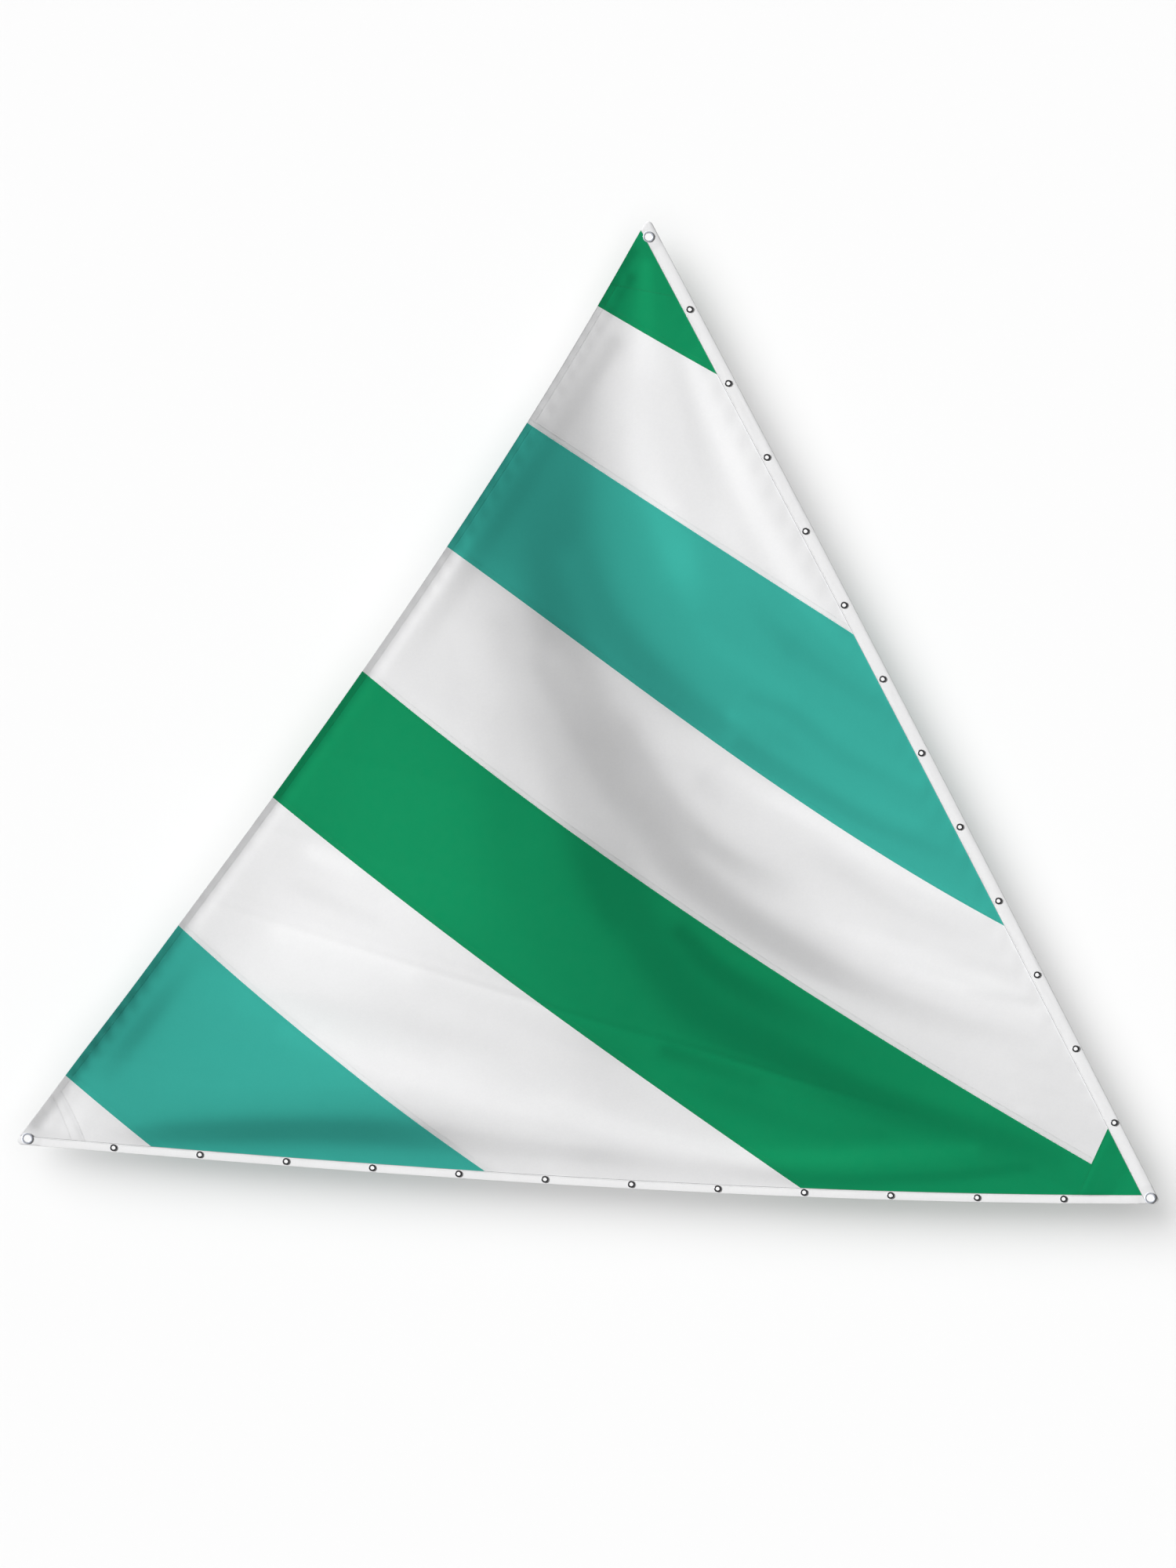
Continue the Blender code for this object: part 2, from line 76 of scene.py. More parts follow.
# How much lower each seam lies in the photograph, in steps of SCALE: at the
# leech, half way and at the tape; and what its skew gains.
SEAM_TRIMS = (
    (0.0, 1.7, 2.1, 0.0),
    (-1.5, -0.3, 1.3, 0.0),
    (-1.0, 1.7, -2.0, 0.0),
    (-1.0, 1.4, 2.6, -0.13),
    (1.2, 1.9, 4.9, 0.0),
    (-3.0, -1.0, -1.3, 0.0),
    (0.1, 1.6, 2.0, 0.0),
)
SCALE = 0.00286  # metres to one step of the photograph
PANEL_NAMES = (
    "panel_1_head",
    "panel_2",
    "panel_3",
    "panel_4",
    "panel_5",
    "panel_6",
    "panel_7",
    "panel_8_clew",
)
PANEL_CLOTH = ("green", "white", "teal", "white", "green", "white", "teal", "white")

MM = 0.001


def smooth(t):
    t = np.clip(t, 0.0, 1.0)
    return t * t * (3.0 - 2.0 * t)


def ramp(v, a, b):
    return smooth((v - a) / (b - a))


def bow(s, rise, skew):
    return 4.0 * rise * s * (1.0 - s) * (1.0 + skew * (1.0 - 2.0 * s))


class Edge:
    """One finished edge of the sail between two corner eyelets."""

    def __init__(self, a, b, third, out):
        self.a, self.b = np.array(a, float), np.array(b, float)
        self.length = float(np.hypot(*(self.b - self.a)))
        self.along = (self.b - self.a) / self.length
        n = np.array((-self.along[1], self.along[0]))
        if n @ (np.array(third) - self.a) > 0.0:
            n = -n
        self.normal = n
        self.out_a, self.out_b, self.rise, self.skew = out

    def out(self, s):
        inner = np.clip(s, 0.0, 1.0)
        t = np.clip(s, -0.05, 1.05)
        line = self.out_a + (self.out_b - self.out_a) * t
        return line + bow(inner, self.rise, self.skew)

    def point(self, s, inset=0.0):
        s = np.asarray(s, float)
        off = self.out(s) - inset
        x = self.a[0] + self.along[0] * s * self.length + self.normal[0] * off
        z = self.a[1] + self.along[1] * s * self.length + self.normal[1] * off
        return x, z

    def place(self, x, z):
        dx, dz = x - self.a[0], z - self.a[1]
        s = (dx * self.along[0] + dz * self.along[1]) / self.length
        return s, self.out(s) - (dx * self.normal[0] + dz * self.normal[1])

    def inset(self, x, z):
        return self.place(x, z)[1]


luff = Edge(HEAD, TACK, CLEW, LUFF_OUT)
foot = Edge(TACK, CLEW, HEAD, FOOT_OUT)
leech = Edge(HEAD, CLEW, TACK, LEECH_OUT)


def meet(one, other, start, inset_one, inset_other):
    """The point at these distances inside two edges."""
    x, z = start
    for _ in range(12):
        a = float(one.inset(x, z)) - inset_one
        b = float(other.inset(x, z)) - inset_other
        n, m = one.normal, other.normal
        det = n[0] * m[1] - n[1] * m[0]
        x, z = x + (a * m[1] - b * n[1]) / det, z + (n[0] * b - m[0] * a) / det
    return x, z


def corner_margin(x, z, one, other, corner, radius):
    """Distance inside the outline near one rounded corner."""
    cx, cz = meet(one, other, corner, radius, radius)
    past = []
    for e in (one, other):
        way = e.along if tuple(e.b) == tuple(corner) else -e.along
        past.append((x - cx) * way[0] + (z - cz) * way[1])
    inside = np.minimum(one.inset(x, z), other.inset(x, z))
    rounded = radius - np.hypot(x - cx, z - cz)
    return np.where(np.minimum(*past) > 0.0, rounded, inside)


def margin(x, z):
    """How far a point is inside the sail's rounded outline."""
    return np.minimum(
        np.minimum(
            corner_margin(x, z, luff, leech, HEAD, HEAD_ROUND),
            corner_margin(x, z, luff, foot, TACK, TACK_ROUND),
        ),
        corner_margin(x, z, foot, leech, CLEW, CLEW_ROUND),
    )


TACK_INNER = meet(luff, foot, TACK, LUFF_HIDE, FOOT_HIDE)
TACK_ON_LUFF = float(luff.place(*TACK_INNER)[0]) - 0.002
TACK_ON_FOOT = float(foot.place(*TACK_INNER)[0]) + 0.002


def right_end(w):
    """The hidden edge of the cloth: 0 to 1 down the luff, 1 to 2 along the foot."""
    if w <= 1.0:
        return luff.point(min(w, TACK_ON_LUFF), LUFF_HIDE)
    return foot.point(max(w - 1.0, TACK_ON_FOOT), FOOT_HIDE)


class Row:
    """A line across the sail from the leech to the hidden edge at the spars."""

    def __init__(self, s, w, sag, skew):
        self.s, self.w, self.sag, self.skew = s, w, sag, skew
        self.a = np.array(leech.point(s))
        self.b = np.array(right_end(w))
        d = self.b - self.a
        self.length = float(np.hypot(*d))
        d = d / self.length
        down = np.array((d[1], -d[0]))
        self.along = d
        self.down = -down if down[1] > 0.0 else down
        self.edge, self.clear = (luff, 0.056) if w <= 1.0 else (foot, 0.040)

    def points(self, u):
        b = bow(u, self.sag, self.skew)
        x = self.a[0] + (self.b[0] - self.a[0]) * u + self.down[0] * b
        z = self.a[1] + (self.b[1] - self.a[1]) * u + self.down[1] * b
        return x, z

    def lapped(self, width=LAP_W):
        """The same line, further up the sail."""
        def cross(v):
            return abs(self.along[0] * v[1] - self.along[1] * v[0])

        edge = luff if self.w <= 1.0 else foot
        on_leech = width / cross(leech.along) / leech.length
        on_right = width / cross(edge.along) / edge.length
        w = self.w - on_right
        if self.w > 1.0 and w < 1.0 + TACK_ON_FOOT:
            w = 1.0 + TACK_ON_FOOT
        return Row(self.s - on_leech, w, self.sag, self.skew)


def between(one, other, t):
    def mix(a, b):
        return a + (b - a) * t

    return Row(
        mix(one.s, other.s),
        mix(one.w, other.w),
        mix(one.sag, other.sag),
        mix(one.skew, other.skew),
    )


def hidden_w(s, w):
    """Where a seam that leaves the tape's inner edge at w meets the hidden edge."""
    if w <= 1.0:
        edge, t, tape, hide = luff, w, LUFF_TAPE_W, LUFF_HIDE
    else:
        edge, t, tape, hide = foot, w - 1.0, FOOT_TAPE_W, FOOT_HIDE
    d = np.array(edge.point(t, tape)) - np.array(leech.point(s))
    on = (tape - hide) * (d @ edge.along) / (d @ edge.normal)
    out = t + on / edge.length
    if w <= 1.0:
        return min(out, TACK_ON_LUFF)
    return 1.0 + out


def trimmed(seam, trim):
    """A seam moved by these steps at the leech, half way and at the tape."""
    s, w, sag, skew = seam
    first, middle, last = (v * SCALE for v in trim[:3])
    edge, t = (luff, w) if w <= 1.0 else (foot, w - 1.0)
    d = np.array(edge.point(t)) - np.array(leech.point(s))
    d /= np.hypot(*d)

    def share(e, off):
        return off / abs(d[0] * e.along[1] - d[1] * e.along[0]) / e.length

    s, w = s + share(leech, first), w + share(edge, last)
    sag += middle - (first + last) / 2
    return Row(s, hidden_w(s, w), sag, skew + trim[3])


SEAM_ROWS = [trimmed(seam, trim) for seam, trim in zip(SEAMS, SEAM_TRIMS)]
TOP_ROW = Row(0.0075, 0.0075, 0.0, 0.0)
BOTTOM_ROW = Row(1.0030, 2.0005, 0.0, 0.0)

# -------------------------------------------------------------------- folds
# The folds are listed from the photograph, and corrected where renders measured
# lighter or darker than it. A stroke is a fold's line: x and y there, half its
# width, and how light the cloth is along it, where 1 is the lightest cloth.
KEY_AZ = 165.0  # of the key light in the plane of the sail, from +X towards +Z
KEY_EL = 12.0  # of the key light above the plane of the sail
AMBIENT = 0.25
FLAT = 0.92  # how light cloth is that lies flat
BASE = 0.86  # and cloth with no fold of its own


def place_of(px, py):
    return (px - 1467.0) * SCALE, (1528.0 - py) * SCALE


def by_leech(tones, inset, half):
    """Strokes down the leech: place as a share of its length, and lightness."""
    line = []
    for s, tone in tones:
        x, z = leech.point(s, inset * SCALE)
        line.append((x / SCALE + 1467.0, 1528.0 - z / SCALE, half, tone))
    return line


STROKES = [
    # broad swells
    [(880, 480, 70, 0.95), (980, 760, 110, 0.92), (1130, 1030, 110, 0.93),
     (1290, 1290, 80, 0.92)],
    [(480, 900, 50, 0.96), (515, 1000, 112, 0.98), (510, 1110, 130, 1.0),
     (420, 1210, 100, 0.99), (360, 1270, 80, 0.97)],
    [(190, 1330, 60, 0.89), (300, 1350, 60, 0.92), (450, 1350, 60, 0.93),
     (620, 1330, 80, 0.91), (760, 1330, 60, 0.84)],
    [(640, 800, 20, 0.78), (645, 870, 28, 0.79), (655, 950, 40, 0.82), (660, 1060, 44, 0.85),
     (715, 1180, 52, 0.83), (790, 1310, 56, 0.79)],
    [(760, 400, 14, 0.76), (735, 470, 26, 0.76), (705, 540, 40, 0.72),
     (670, 620, 60, 0.62), (630, 690, 50, 0.66)],
    [(530, 780, 40, 0.86), (570, 830, 50, 0.89), (600, 880, 45, 0.88)],
    # the long hollow from the head towards the tack, and its two branches
    [(730, 520, 35, 0.68), (712, 600, 46, 0.60), (706, 690, 52, 0.55),
     (714, 780, 50, 0.53), (732, 860, 46, 0.57), (752, 930, 42, 0.60)],
    [(735, 720, 24, 0.62), (765, 782, 27, 0.62), (805, 834, 27, 0.64),
     (860, 887, 24, 0.68), (915, 924, 18, 0.76)],
    [(790, 940, 26, 0.62), (835, 1010, 24, 0.64), (880, 1065, 20, 0.67)],
    [(690, 900, 26, 0.73), (716, 970, 32, 0.70), (742, 1040, 34, 0.68),
     (762, 1105, 32, 0.64), (790, 1165, 26, 0.62)],
    [(700, 850, 22, 0.62), (749, 930, 35, 0.56), (785, 1000, 33, 0.55),
     (826, 1055, 32, 0.56), (868, 1105, 32, 0.57), (922, 1152, 28, 0.60), (978, 1192, 24, 0.62),
     (1040, 1228, 22, 0.65), (1100, 1260, 19, 0.72), (1160, 1285, 16, 0.78),
     (1230, 1308, 13, 0.83), (1320, 1330, 10, 0.88)],
    [(785, 1080, 34, 0.62), (808, 1160, 34, 0.64), (848, 1235, 36, 0.63),
     (898, 1290, 36, 0.62), (962, 1326, 34, 0.62), (1022, 1354, 31, 0.62),
     (1082, 1384, 28, 0.61), (1140, 1408, 26, 0.61), (1200, 1430, 22, 0.64),
     (1270, 1452, 18, 0.70), (1345, 1478, 14, 0.78)],
    [(868, 1190, 14, 0.60), (912, 1236, 18, 0.60), (972, 1276, 21, 0.64),
     (1038, 1314, 23, 0.72), (1098, 1346, 26, 0.77), (1170, 1376, 26, 0.82),
     (1250, 1400, 24, 0.88)],
    # swells that fan out from the head, along the luff
    [(812, 340, 5, 0.84), (795, 395, 8, 0.80), (778, 440, 11, 0.80)],
    [(824, 340, 10, 1.04), (824, 420, 16, 1.02), (820, 500, 22, 0.95),
     (822, 580, 25, 0.97), (844, 650, 24, 1.02), (868, 710, 24, 1.06),
     (884, 765, 16, 0.95)],
    [(840, 352, 5, 0.92), (850, 420, 8, 0.93), (868, 490, 10, 0.90),
     (888, 560, 12, 0.88), (908, 625, 14, 0.91), (926, 672, 15, 0.97),
     (950, 730, 13, 0.94), (975, 790, 13, 0.87), (1010, 825, 13, 0.84)],
    [(880, 455, 8, 1.0), (906, 520, 12, 1.04), (936, 590, 15, 1.05),
     (966, 660, 16, 1.04), (1002, 722, 16, 1.04), (1040, 782, 14, 1.0),
     (1090, 835, 12, 0.97), (1135, 885, 10, 0.95)],
    [(1010, 825, 12, 0.84), (1060, 862, 11, 0.87), (1110, 895, 10, 0.88),
     (1160, 925, 8, 0.90)],
    [(888, 790, 10, 0.91), (925, 830, 13, 0.94), (975, 862, 12, 0.95),
     (1040, 908, 11, 0.95), (1100, 952, 11, 0.95), (1165, 992, 9, 0.97)],
    [(960, 890, 8, 0.86), (1010, 912, 10, 0.86), (1060, 955, 10, 0.87),
     (1115, 988, 9, 0.89), (1175, 1020, 8, 0.92)],
    [(935, 912, 8, 0.93), (1000, 945, 9, 0.88), (1050, 985, 9, 0.93),
     (1110, 1024, 10, 0.96), (1170, 1050, 9, 0.98)],
    [(945, 950, 12, 0.76), (1010, 992, 12, 0.80), (1060, 1022, 11, 0.82),
     (1120, 1056, 10, 0.86), (1180, 1080, 9, 0.87), (1238, 1100, 7, 0.90)],
    [(930, 985, 9, 0.90), (990, 1018, 13, 0.96), (1050, 1052, 13, 0.98),
     (1100, 1086, 13, 1.0), (1150, 1112, 13, 1.0), (1205, 1138, 13, 1.0),
     (1265, 1165, 9, 0.98)],
    [(895, 1000, 14, 0.78), (945, 1046, 14, 0.86), (1000, 1078, 13, 0.88),
     (1050, 1098, 12, 0.86), (1100, 1132, 12, 0.86), (1150, 1162, 11, 0.88),
     (1210, 1184, 9, 0.90), (1285, 1202, 6, 0.93)],
    [(885, 1066, 14, 0.64), (940, 1104, 16, 0.69), (1000, 1134, 18, 0.82),
     (1050, 1156, 20, 0.91), (1100, 1192, 22, 0.94), (1155, 1222, 22, 0.96),
     (1210, 1246, 20, 0.97), (1265, 1262, 16, 0.98), (1320, 1290, 10, 0.97)],
    # fine creases that run into the luff eyelets
    [(1215, 1222, 5, 0.93), (1262, 1234, 5, 0.90), (1314, 1247, 4, 0.92)],
    [(1240, 1265, 5, 0.92), (1290, 1274, 5, 0.88), (1338, 1284, 4, 0.92)],
    [(1275, 1350, 5, 0.90), (1330, 1360, 5, 0.87), (1380, 1374, 4, 0.90)],
    [(1290, 1386, 5, 0.90), (1340, 1392, 5, 0.86), (1395, 1402, 4, 0.90)],
    [(1300, 1416, 4, 0.90), (1360, 1420, 4, 0.87), (1405, 1428, 3, 0.90)],
    # along the foot
    [(365, 1316, 12, 1.0), (430, 1340, 17, 1.0), (500, 1360, 20, 1.0),
     (570, 1382, 20, 0.99), (650, 1406, 18, 0.96), (720, 1418, 16, 0.94),
     (790, 1440, 14, 0.95), (855, 1456, 13, 0.95), (925, 1469, 12, 0.96),
     (1000, 1476, 12, 1.0), (1080, 1476, 12, 1.0), (1160, 1472, 12, 0.94),
     (1240, 1468, 9, 0.90)],
    [(320, 1262, 8, 0.95), (400, 1282, 12, 0.91), (470, 1298, 14, 0.90),
     (550, 1315, 16, 0.88), (640, 1334, 18, 0.87)],
    [(850, 1340, 10, 0.66), (900, 1356, 12, 0.68), (960, 1376, 12, 0.72)],
    [(860, 1380, 12, 0.80), (930, 1402, 16, 0.75), (990, 1424, 14, 0.78),
     (1050, 1442, 12, 0.79), (1120, 1446, 10, 0.78)],
    [(120, 1449, 8, 0.88), (160, 1448, 12, 0.78), (210, 1446, 16, 0.62),
     (300, 1443, 19, 0.56), (400, 1442, 20, 0.55), (480, 1444, 21, 0.55),
     (545, 1450, 20, 0.61), (615, 1459, 17, 0.73), (700, 1468, 12, 0.76),
     (765, 1475, 12, 0.74), (830, 1485, 10, 0.80), (900, 1492, 9, 0.82),
     (980, 1500, 8, 0.78), (1060, 1505, 8, 0.76), (1150, 1503, 8, 0.74),
     (1230, 1498, 8, 0.73), (1310, 1488, 8, 0.76)],
    # soft pleats behind the leech
    [(325, 1108, 8, 0.93), (380, 1130, 10, 0.93), (430, 1154, 10, 0.95),
     (480, 1174, 8, 0.96)],
    [(360, 1190, 14, 1.02), (440, 1212, 16, 1.02), (520, 1240, 14, 0.99)],
    [(400, 1088, 10, 1.02), (450, 1110, 10, 1.02)],
    [(556, 738, 7, 0.86), (572, 790, 7, 0.88), (590, 850, 6, 0.89)],
    # the leech
    by_leech([(0.10, 0.70), (0.2, 0.57), (0.3, 0.55), (0.38, 0.78), (0.5, 0.94),
              (0.6, 0.94), (0.7, 0.90), (0.78, 0.84), (0.86, 0.68), (0.93, 0.90),
              (0.97, 0.96)], 40, 13),
    by_leech([(0.04, 0.72), (0.15, 0.66), (0.22, 0.60), (0.3, 0.62), (0.36, 0.94),
              (0.5, 1.0), (0.6, 1.0), (0.68, 0.97), (0.74, 0.95), (0.8, 0.82),
              (0.87, 0.74), (0.92, 0.86), (0.98, 0.98)], 19, 6),
    by_leech([(0.02, 0.70), (0.12, 0.68), (0.20, 0.66), (0.25, 0.60), (0.31, 0.60),
              (0.37, 0.66), (0.5, 0.65), (0.6, 0.64), (0.7, 0.64), (0.76, 0.62)],
             4, 6),
    by_leech([(0.77, 0.58), (0.81, 0.50), (0.91, 0.50), (0.94, 0.66),
              (0.985, 0.68)], 6, 8),
]


def curve_through(points, n):
    """Catmull-Rom curve through rows of numbers."""
    p = [np.array(q, float) for q in points]
    p = np.array([2 * p[0] - p[1]] + p + [2 * p[-1] - p[-2]])
    m = len(p) - 3
    u = np.linspace(0.0, m, n + 1)
    i = np.minimum(u.astype(int), m - 1)
    t = (u - i)[:, None]
    a, b, c, d = p[i], p[i + 1], p[i + 2], p[i + 3]
    return 0.5 * (
        2 * b
        + (c - a) * t
        + (2 * a - 5 * b + 4 * c - d) * t**2
        + (3 * b - a - 3 * c + d) * t**3
    )


def lightness(X, Z):
    """How light the cloth is at each place, from the strokes."""
    tone = np.full(X.shape, BASE)
    for stroke in STROKES:
        line = curve_through(
            [(*place_of(q[0], q[1]), q[2] * SCALE, q[3]) for q in stroke],
            8 * (len(stroke) - 1),
        )
        wide = 2.6 * line[:, 2].max()
        near = (
            (X > line[:, 0].min() - wide)
            & (X < line[:, 0].max() + wide)
            & (Z > line[:, 1].min() - wide)
            & (Z < line[:, 1].max() + wide)
        )
        x, z = X[near], Z[near]
        best = np.full(x.shape, 1e9)
        value = np.zeros(x.shape)
        for a, b in zip(line, line[1:]):
            u = b[:2] - a[:2]
            t = ((x - a[0]) * u[0] + (z - a[1]) * u[1]) / (u @ u)
            t = np.clip(t, 0.0, 1.0)
            d = np.hypot(x - a[0] - t * u[0], z - a[1] - t * u[1])
            d = d / (a[2] + (b[2] - a[2]) * t)
            use = d < best
            best = np.where(use, d, best)
            value = np.where(use, a[3] + (b[3] - a[3]) * t, value)
        w = 1.0 / (1.0 + best**3.2)
        tone[near] = tone[near] * (1.0 - w) + value * w
    return tone


class Field:
    """A smooth surface over the sail, from a grid of B-spline weights."""

    def __init__(self, x, z, values):
        self.x, self.z, self.values = x, z, values

    def __call__(self, X, Z):
        step = self.x[1] - self.x[0]
        u, v = (X - self.x[0]) / step, (Z - self.z[0]) / step
        i = np.clip(u.astype(int), 1, len(self.x) - 3)
        j = np.clip(v.astype(int), 1, len(self.z) - 3)

        def weights(t):
            return (
                (1 - t) ** 3 / 6,
                (3 * t**3 - 6 * t * t + 4) / 6,
                (-3 * t**3 + 3 * t * t + 3 * t + 1) / 6,
                t**3 / 6,
            )

        wa, wb = weights(u - i), weights(v - j)
        out = 0.0
        for k in range(4):
            row = 0.0
            for m in range(4):
                row = row + wa[m] * self.values[j + k - 1, i + m - 1]
            out = out + wb[k] * row
        return out


STAND_LOW, STAND_HIGH = -0.006, 0.110
FIRMNESS = 0.06


def solve_cloth(step, start, outer, rounds):
    """The heights whose shading under the key light is the wanted one.

    Gauss-Newton steps, each solved by conjugate gradients: the shading, a
    stiffness against bending, and the room that the solids give. The cloth is
    held flat along the two tapes.
    """
    x = np.arange(-4.30, 0.16, step)
    z = np.arange(-0.16, 3.72, step)
    X, Z = np.meshgrid(x, z)
    az, el = math.radians(KEY_AZ), math.radians(KEY_EL)
    lx, lz = math.cos(az) * math.cos(el), math.sin(az) * math.cos(el)
    ly = math.sin(el)
    key = (FLAT - AMBIENT) / ly
    Xc, Zc = (X[1:, 1:] + X[:-1, :-1]) / 2, (Z[1:, 1:] + Z[:-1, :-1]) / 2
    tone = lightness(Xc, Zc)
    inside = (
        ramp(luff.inset(Xc, Zc), 0.035, 0.060)
        * ramp(foot.inset(Xc, Zc), 0.024, 0.036)
        * (leech.inset(Xc, Zc) > 0.0)
    )
    held = ramp(luff.inset(X, Z), 0.050, 0.095) * ramp(foot.inset(X, Z), 0.032, 0.056)
    held = held * ramp(np.hypot(X - TACK[0], Z - TACK[1]), 0.14, 0.42)
    stiff = (FIRMNESS / step) ** 2
    slack = 0.02**2
    h = (start(X, Z) if start else np.zeros(X.shape)) * (held > 0)

    def slopes(h):
        gx = h[1:, 1:] + h[:-1, 1:] - h[1:, :-1] - h[:-1, :-1]
        gz = h[1:, 1:] + h[1:, :-1] - h[:-1, 1:] - h[:-1, :-1]
        return gx / (2 * step), gz / (2 * step)

    def spread(a, b):
        out = np.zeros(X.shape)
        a, b = a / (2 * step), b / (2 * step)
        out[1:, 1:] += a + b
        out[:-1, 1:] += a - b
        out[1:, :-1] += b - a
        out[:-1, :-1] -= a + b
        return out

    def bend(h):
        out = np.zeros(h.shape)
        out[1:-1, 1:-1] = (
            h[1:-1, 2:] + h[1:-1, :-2] + h[2:, 1:-1] + h[:-2, 1:-1] - 4 * h[1:-1, 1:-1]
        )
        return out

    def unbend(r):
        out = -4 * r
        out[:, 1:] += r[:, :-1]
        out[:, :-1] += r[:, 1:]
        out[1:] += r[:-1]
        out[:-1] += r[1:]
        return out

    for _ in range(outer):
        gx, gz = slopes(h)
        root = np.sqrt(1 + gx * gx + gz * gz)
        top = ly - lx * gx - lz * gz
        by_x = key * (-lx / root - top * gx / root**3) * inside
        by_z = key * (-lz / root - top * gz / root**3) * inside
        miss = (tone - AMBIENT - key * top / root) * inside
        over = ((h > STAND_HIGH) | (h < STAND_LOW)) * 36.0
        room = np.clip(h, STAND_LOW, STAND_HIGH)

        def apply(g):
            d = held * g
            dx, dz = slopes(d)
            r = by_x * dx + by_z * dz
            out = spread(r * by_x, r * by_z) + stiff * unbend(bend(d))
            return held * (out + (slack + over) * d) + 1e-6 * g

        b = spread(miss * by_x, miss * by_z) - stiff * unbend(bend(h))
        b = held * (b - slack * h - over * (h - room))
        diagonal = held * held * (key * key / step**2 + stiff * 20 + slack + over)
        diagonal = diagonal + 1e-3
        g = np.zeros(X.shape)
        r = b
        y = r / diagonal
        p = y.copy()
        ry = (r * y).sum()
        for _ in range(rounds):
            q = apply(p)
            a = ry / (p * q).sum()
            g += a * p
            r = r - a * q
            y = r / diagonal
            new = (r * y).sum()
            p = y + new / ry * p
            ry = new
        h = h + held * g
    return Field(x, z, h)


def make_cloth():
    levels = [(0.0458, 8, 150), (0.0229, 4, 150), (0.01145, 3, 150)]
    field = None
    for step, outer, rounds in levels:
        field = solve_cloth(step, field, outer, rounds)
    return field


CLOTH = make_cloth()


def noise_1d(t, seed):
    """Smooth noise along a line, about -1 to 1, the same each run."""
    i = np.floor(t).astype(int)
    f = t - i
    f = f * f * (3 - 2 * f)

    def value(k):
        v = np.sin(k * 127.1 + seed * 311.7) * 43758.5453
        return (v - np.floor(v)) * 2 - 1

    return value(i) * (1 - f) + value(i + 1) * f


def noise_2d(x, z, seed):
    i, j = np.floor(x).astype(int), np.floor(z).astype(int)
    f, g = x - i, z - j
    f, g = f * f * (3 - 2 * f), g * g * (3 - 2 * g)

    def value(a, b):
        v = np.sin(a * 127.1 + b * 269.5 + seed * 311.7) * 43758.5453
        return (v - np.floor(v)) * 2 - 1

    low = value(i, j) * (1 - f) + value(i + 1, j) * f
    high = value(i, j + 1) * (1 - f) + value(i + 1, j + 1) * f
    return low * (1 - g) + high * g


def stand(x, z):
    """How far the cloth stands off the plane of the spars, towards -Y."""
    h = CLOTH(x, z)
    h = h * ramp(luff.inset(x, z), 0.036, 0.056) * ramp(foot.inset(x, z), 0.024, 0.038)
    s, inset = leech.place(x, z)
    # the hem gathers the leech a little between its stitches
    run = s * leech.length
    ends = ramp(s, 0.01, 0.05) * (1 - ramp(s, 0.95, 0.99))
    wave = np.sin(run * 88.0 + 2.4 * noise_1d(run * 3.1, 3))
    wave = wave * (0.55 + 0.45 * noise_1d(run * 2.3, 5))
    h = h + 0.00045 * wave * ends * np.exp(-(((inset - 0.030) / 0.022) ** 2))
    curl = 0.00018 - 0.00012 * ramp(s, 0.30, 0.45)
    h = h + curl * np.clip(1 - inset / 0.0065, 0.0, 1.0) ** 2 * ends
    # and the luff tape gathers the cloth next to it
    s, inset = luff.place(x, z)
    run = s * luff.length
    wave = np.sin(run * 64.0 + 3.0 * noise_1d(run * 2.1, 7))
    wave = wave * (0.5 + 0.5 * noise_1d(run * 1.7, 9))
    gather = np.exp(-(((inset - 0.072) / 0.028) ** 2)) * ramp(inset, 0.040, 0.060)
    return h + 0.00035 * wave * gather * ramp(s, 0.03, 0.08)


# -------------------------------------------------------------- mesh helpers
def new_mesh(name, verts, faces, materials=(), uv=None, floats=None):
    """A smooth mesh from arrays; faces all have the same number of corners."""
    mesh = bpy.data.meshes.new(name)
    verts = np.ascontiguousarray(verts, dtype=np.float32).reshape(-1, 3)
    faces = np.ascontiguousarray(faces, dtype=np.int32)
    n, k = faces.shape
    mesh.vertices.add(len(verts))
    mesh.vertices.foreach_set("co", verts.ravel())
    mesh.loops.add(n * k)
    mesh.loops.foreach_set("vertex_index", faces.ravel())
    mesh.polygons.add(n)
    mesh.polygons.foreach_set("loop_start", np.arange(n, dtype=np.int32) * k)
    mesh.polygons.foreach_set("use_smooth", np.ones(n, dtype=bool))
    if uv is not None:
        layer = mesh.uv_layers.new(name="cloth")
        corner = np.ascontiguousarray(uv.reshape(-1, 2)[faces.ravel()], np.float32)
        layer.data.foreach_set("uv", corner.ravel())
    for key, values in (floats or {}).items():
        attribute = mesh.attributes.new(key, "FLOAT", "POINT")
        attribute.data.foreach_set(
            "value", np.ascontiguousarray(values, np.float32).ravel()
        )
    mesh.update(calc_edges=True)
    mesh.validate()
    for material in materials:
        mesh.materials.append(material)
    obj = bpy.data.objects.new(name, mesh)
    bpy.context.scene.collection.objects.link(obj)
    return obj


def grid_faces(rows, columns, wrap=False):
    i = np.arange(rows - 1)[:, None]
    j = np.arange(columns if wrap else columns - 1)[None, :]
    k = (j + 1) % columns
    quads = [i * columns + j, i * columns + k, (i + 1) * columns + k]
    quads.append((i + 1) * columns + j)
    return np.stack([q.ravel() for q in np.broadcast_arrays(*quads)], axis=1)


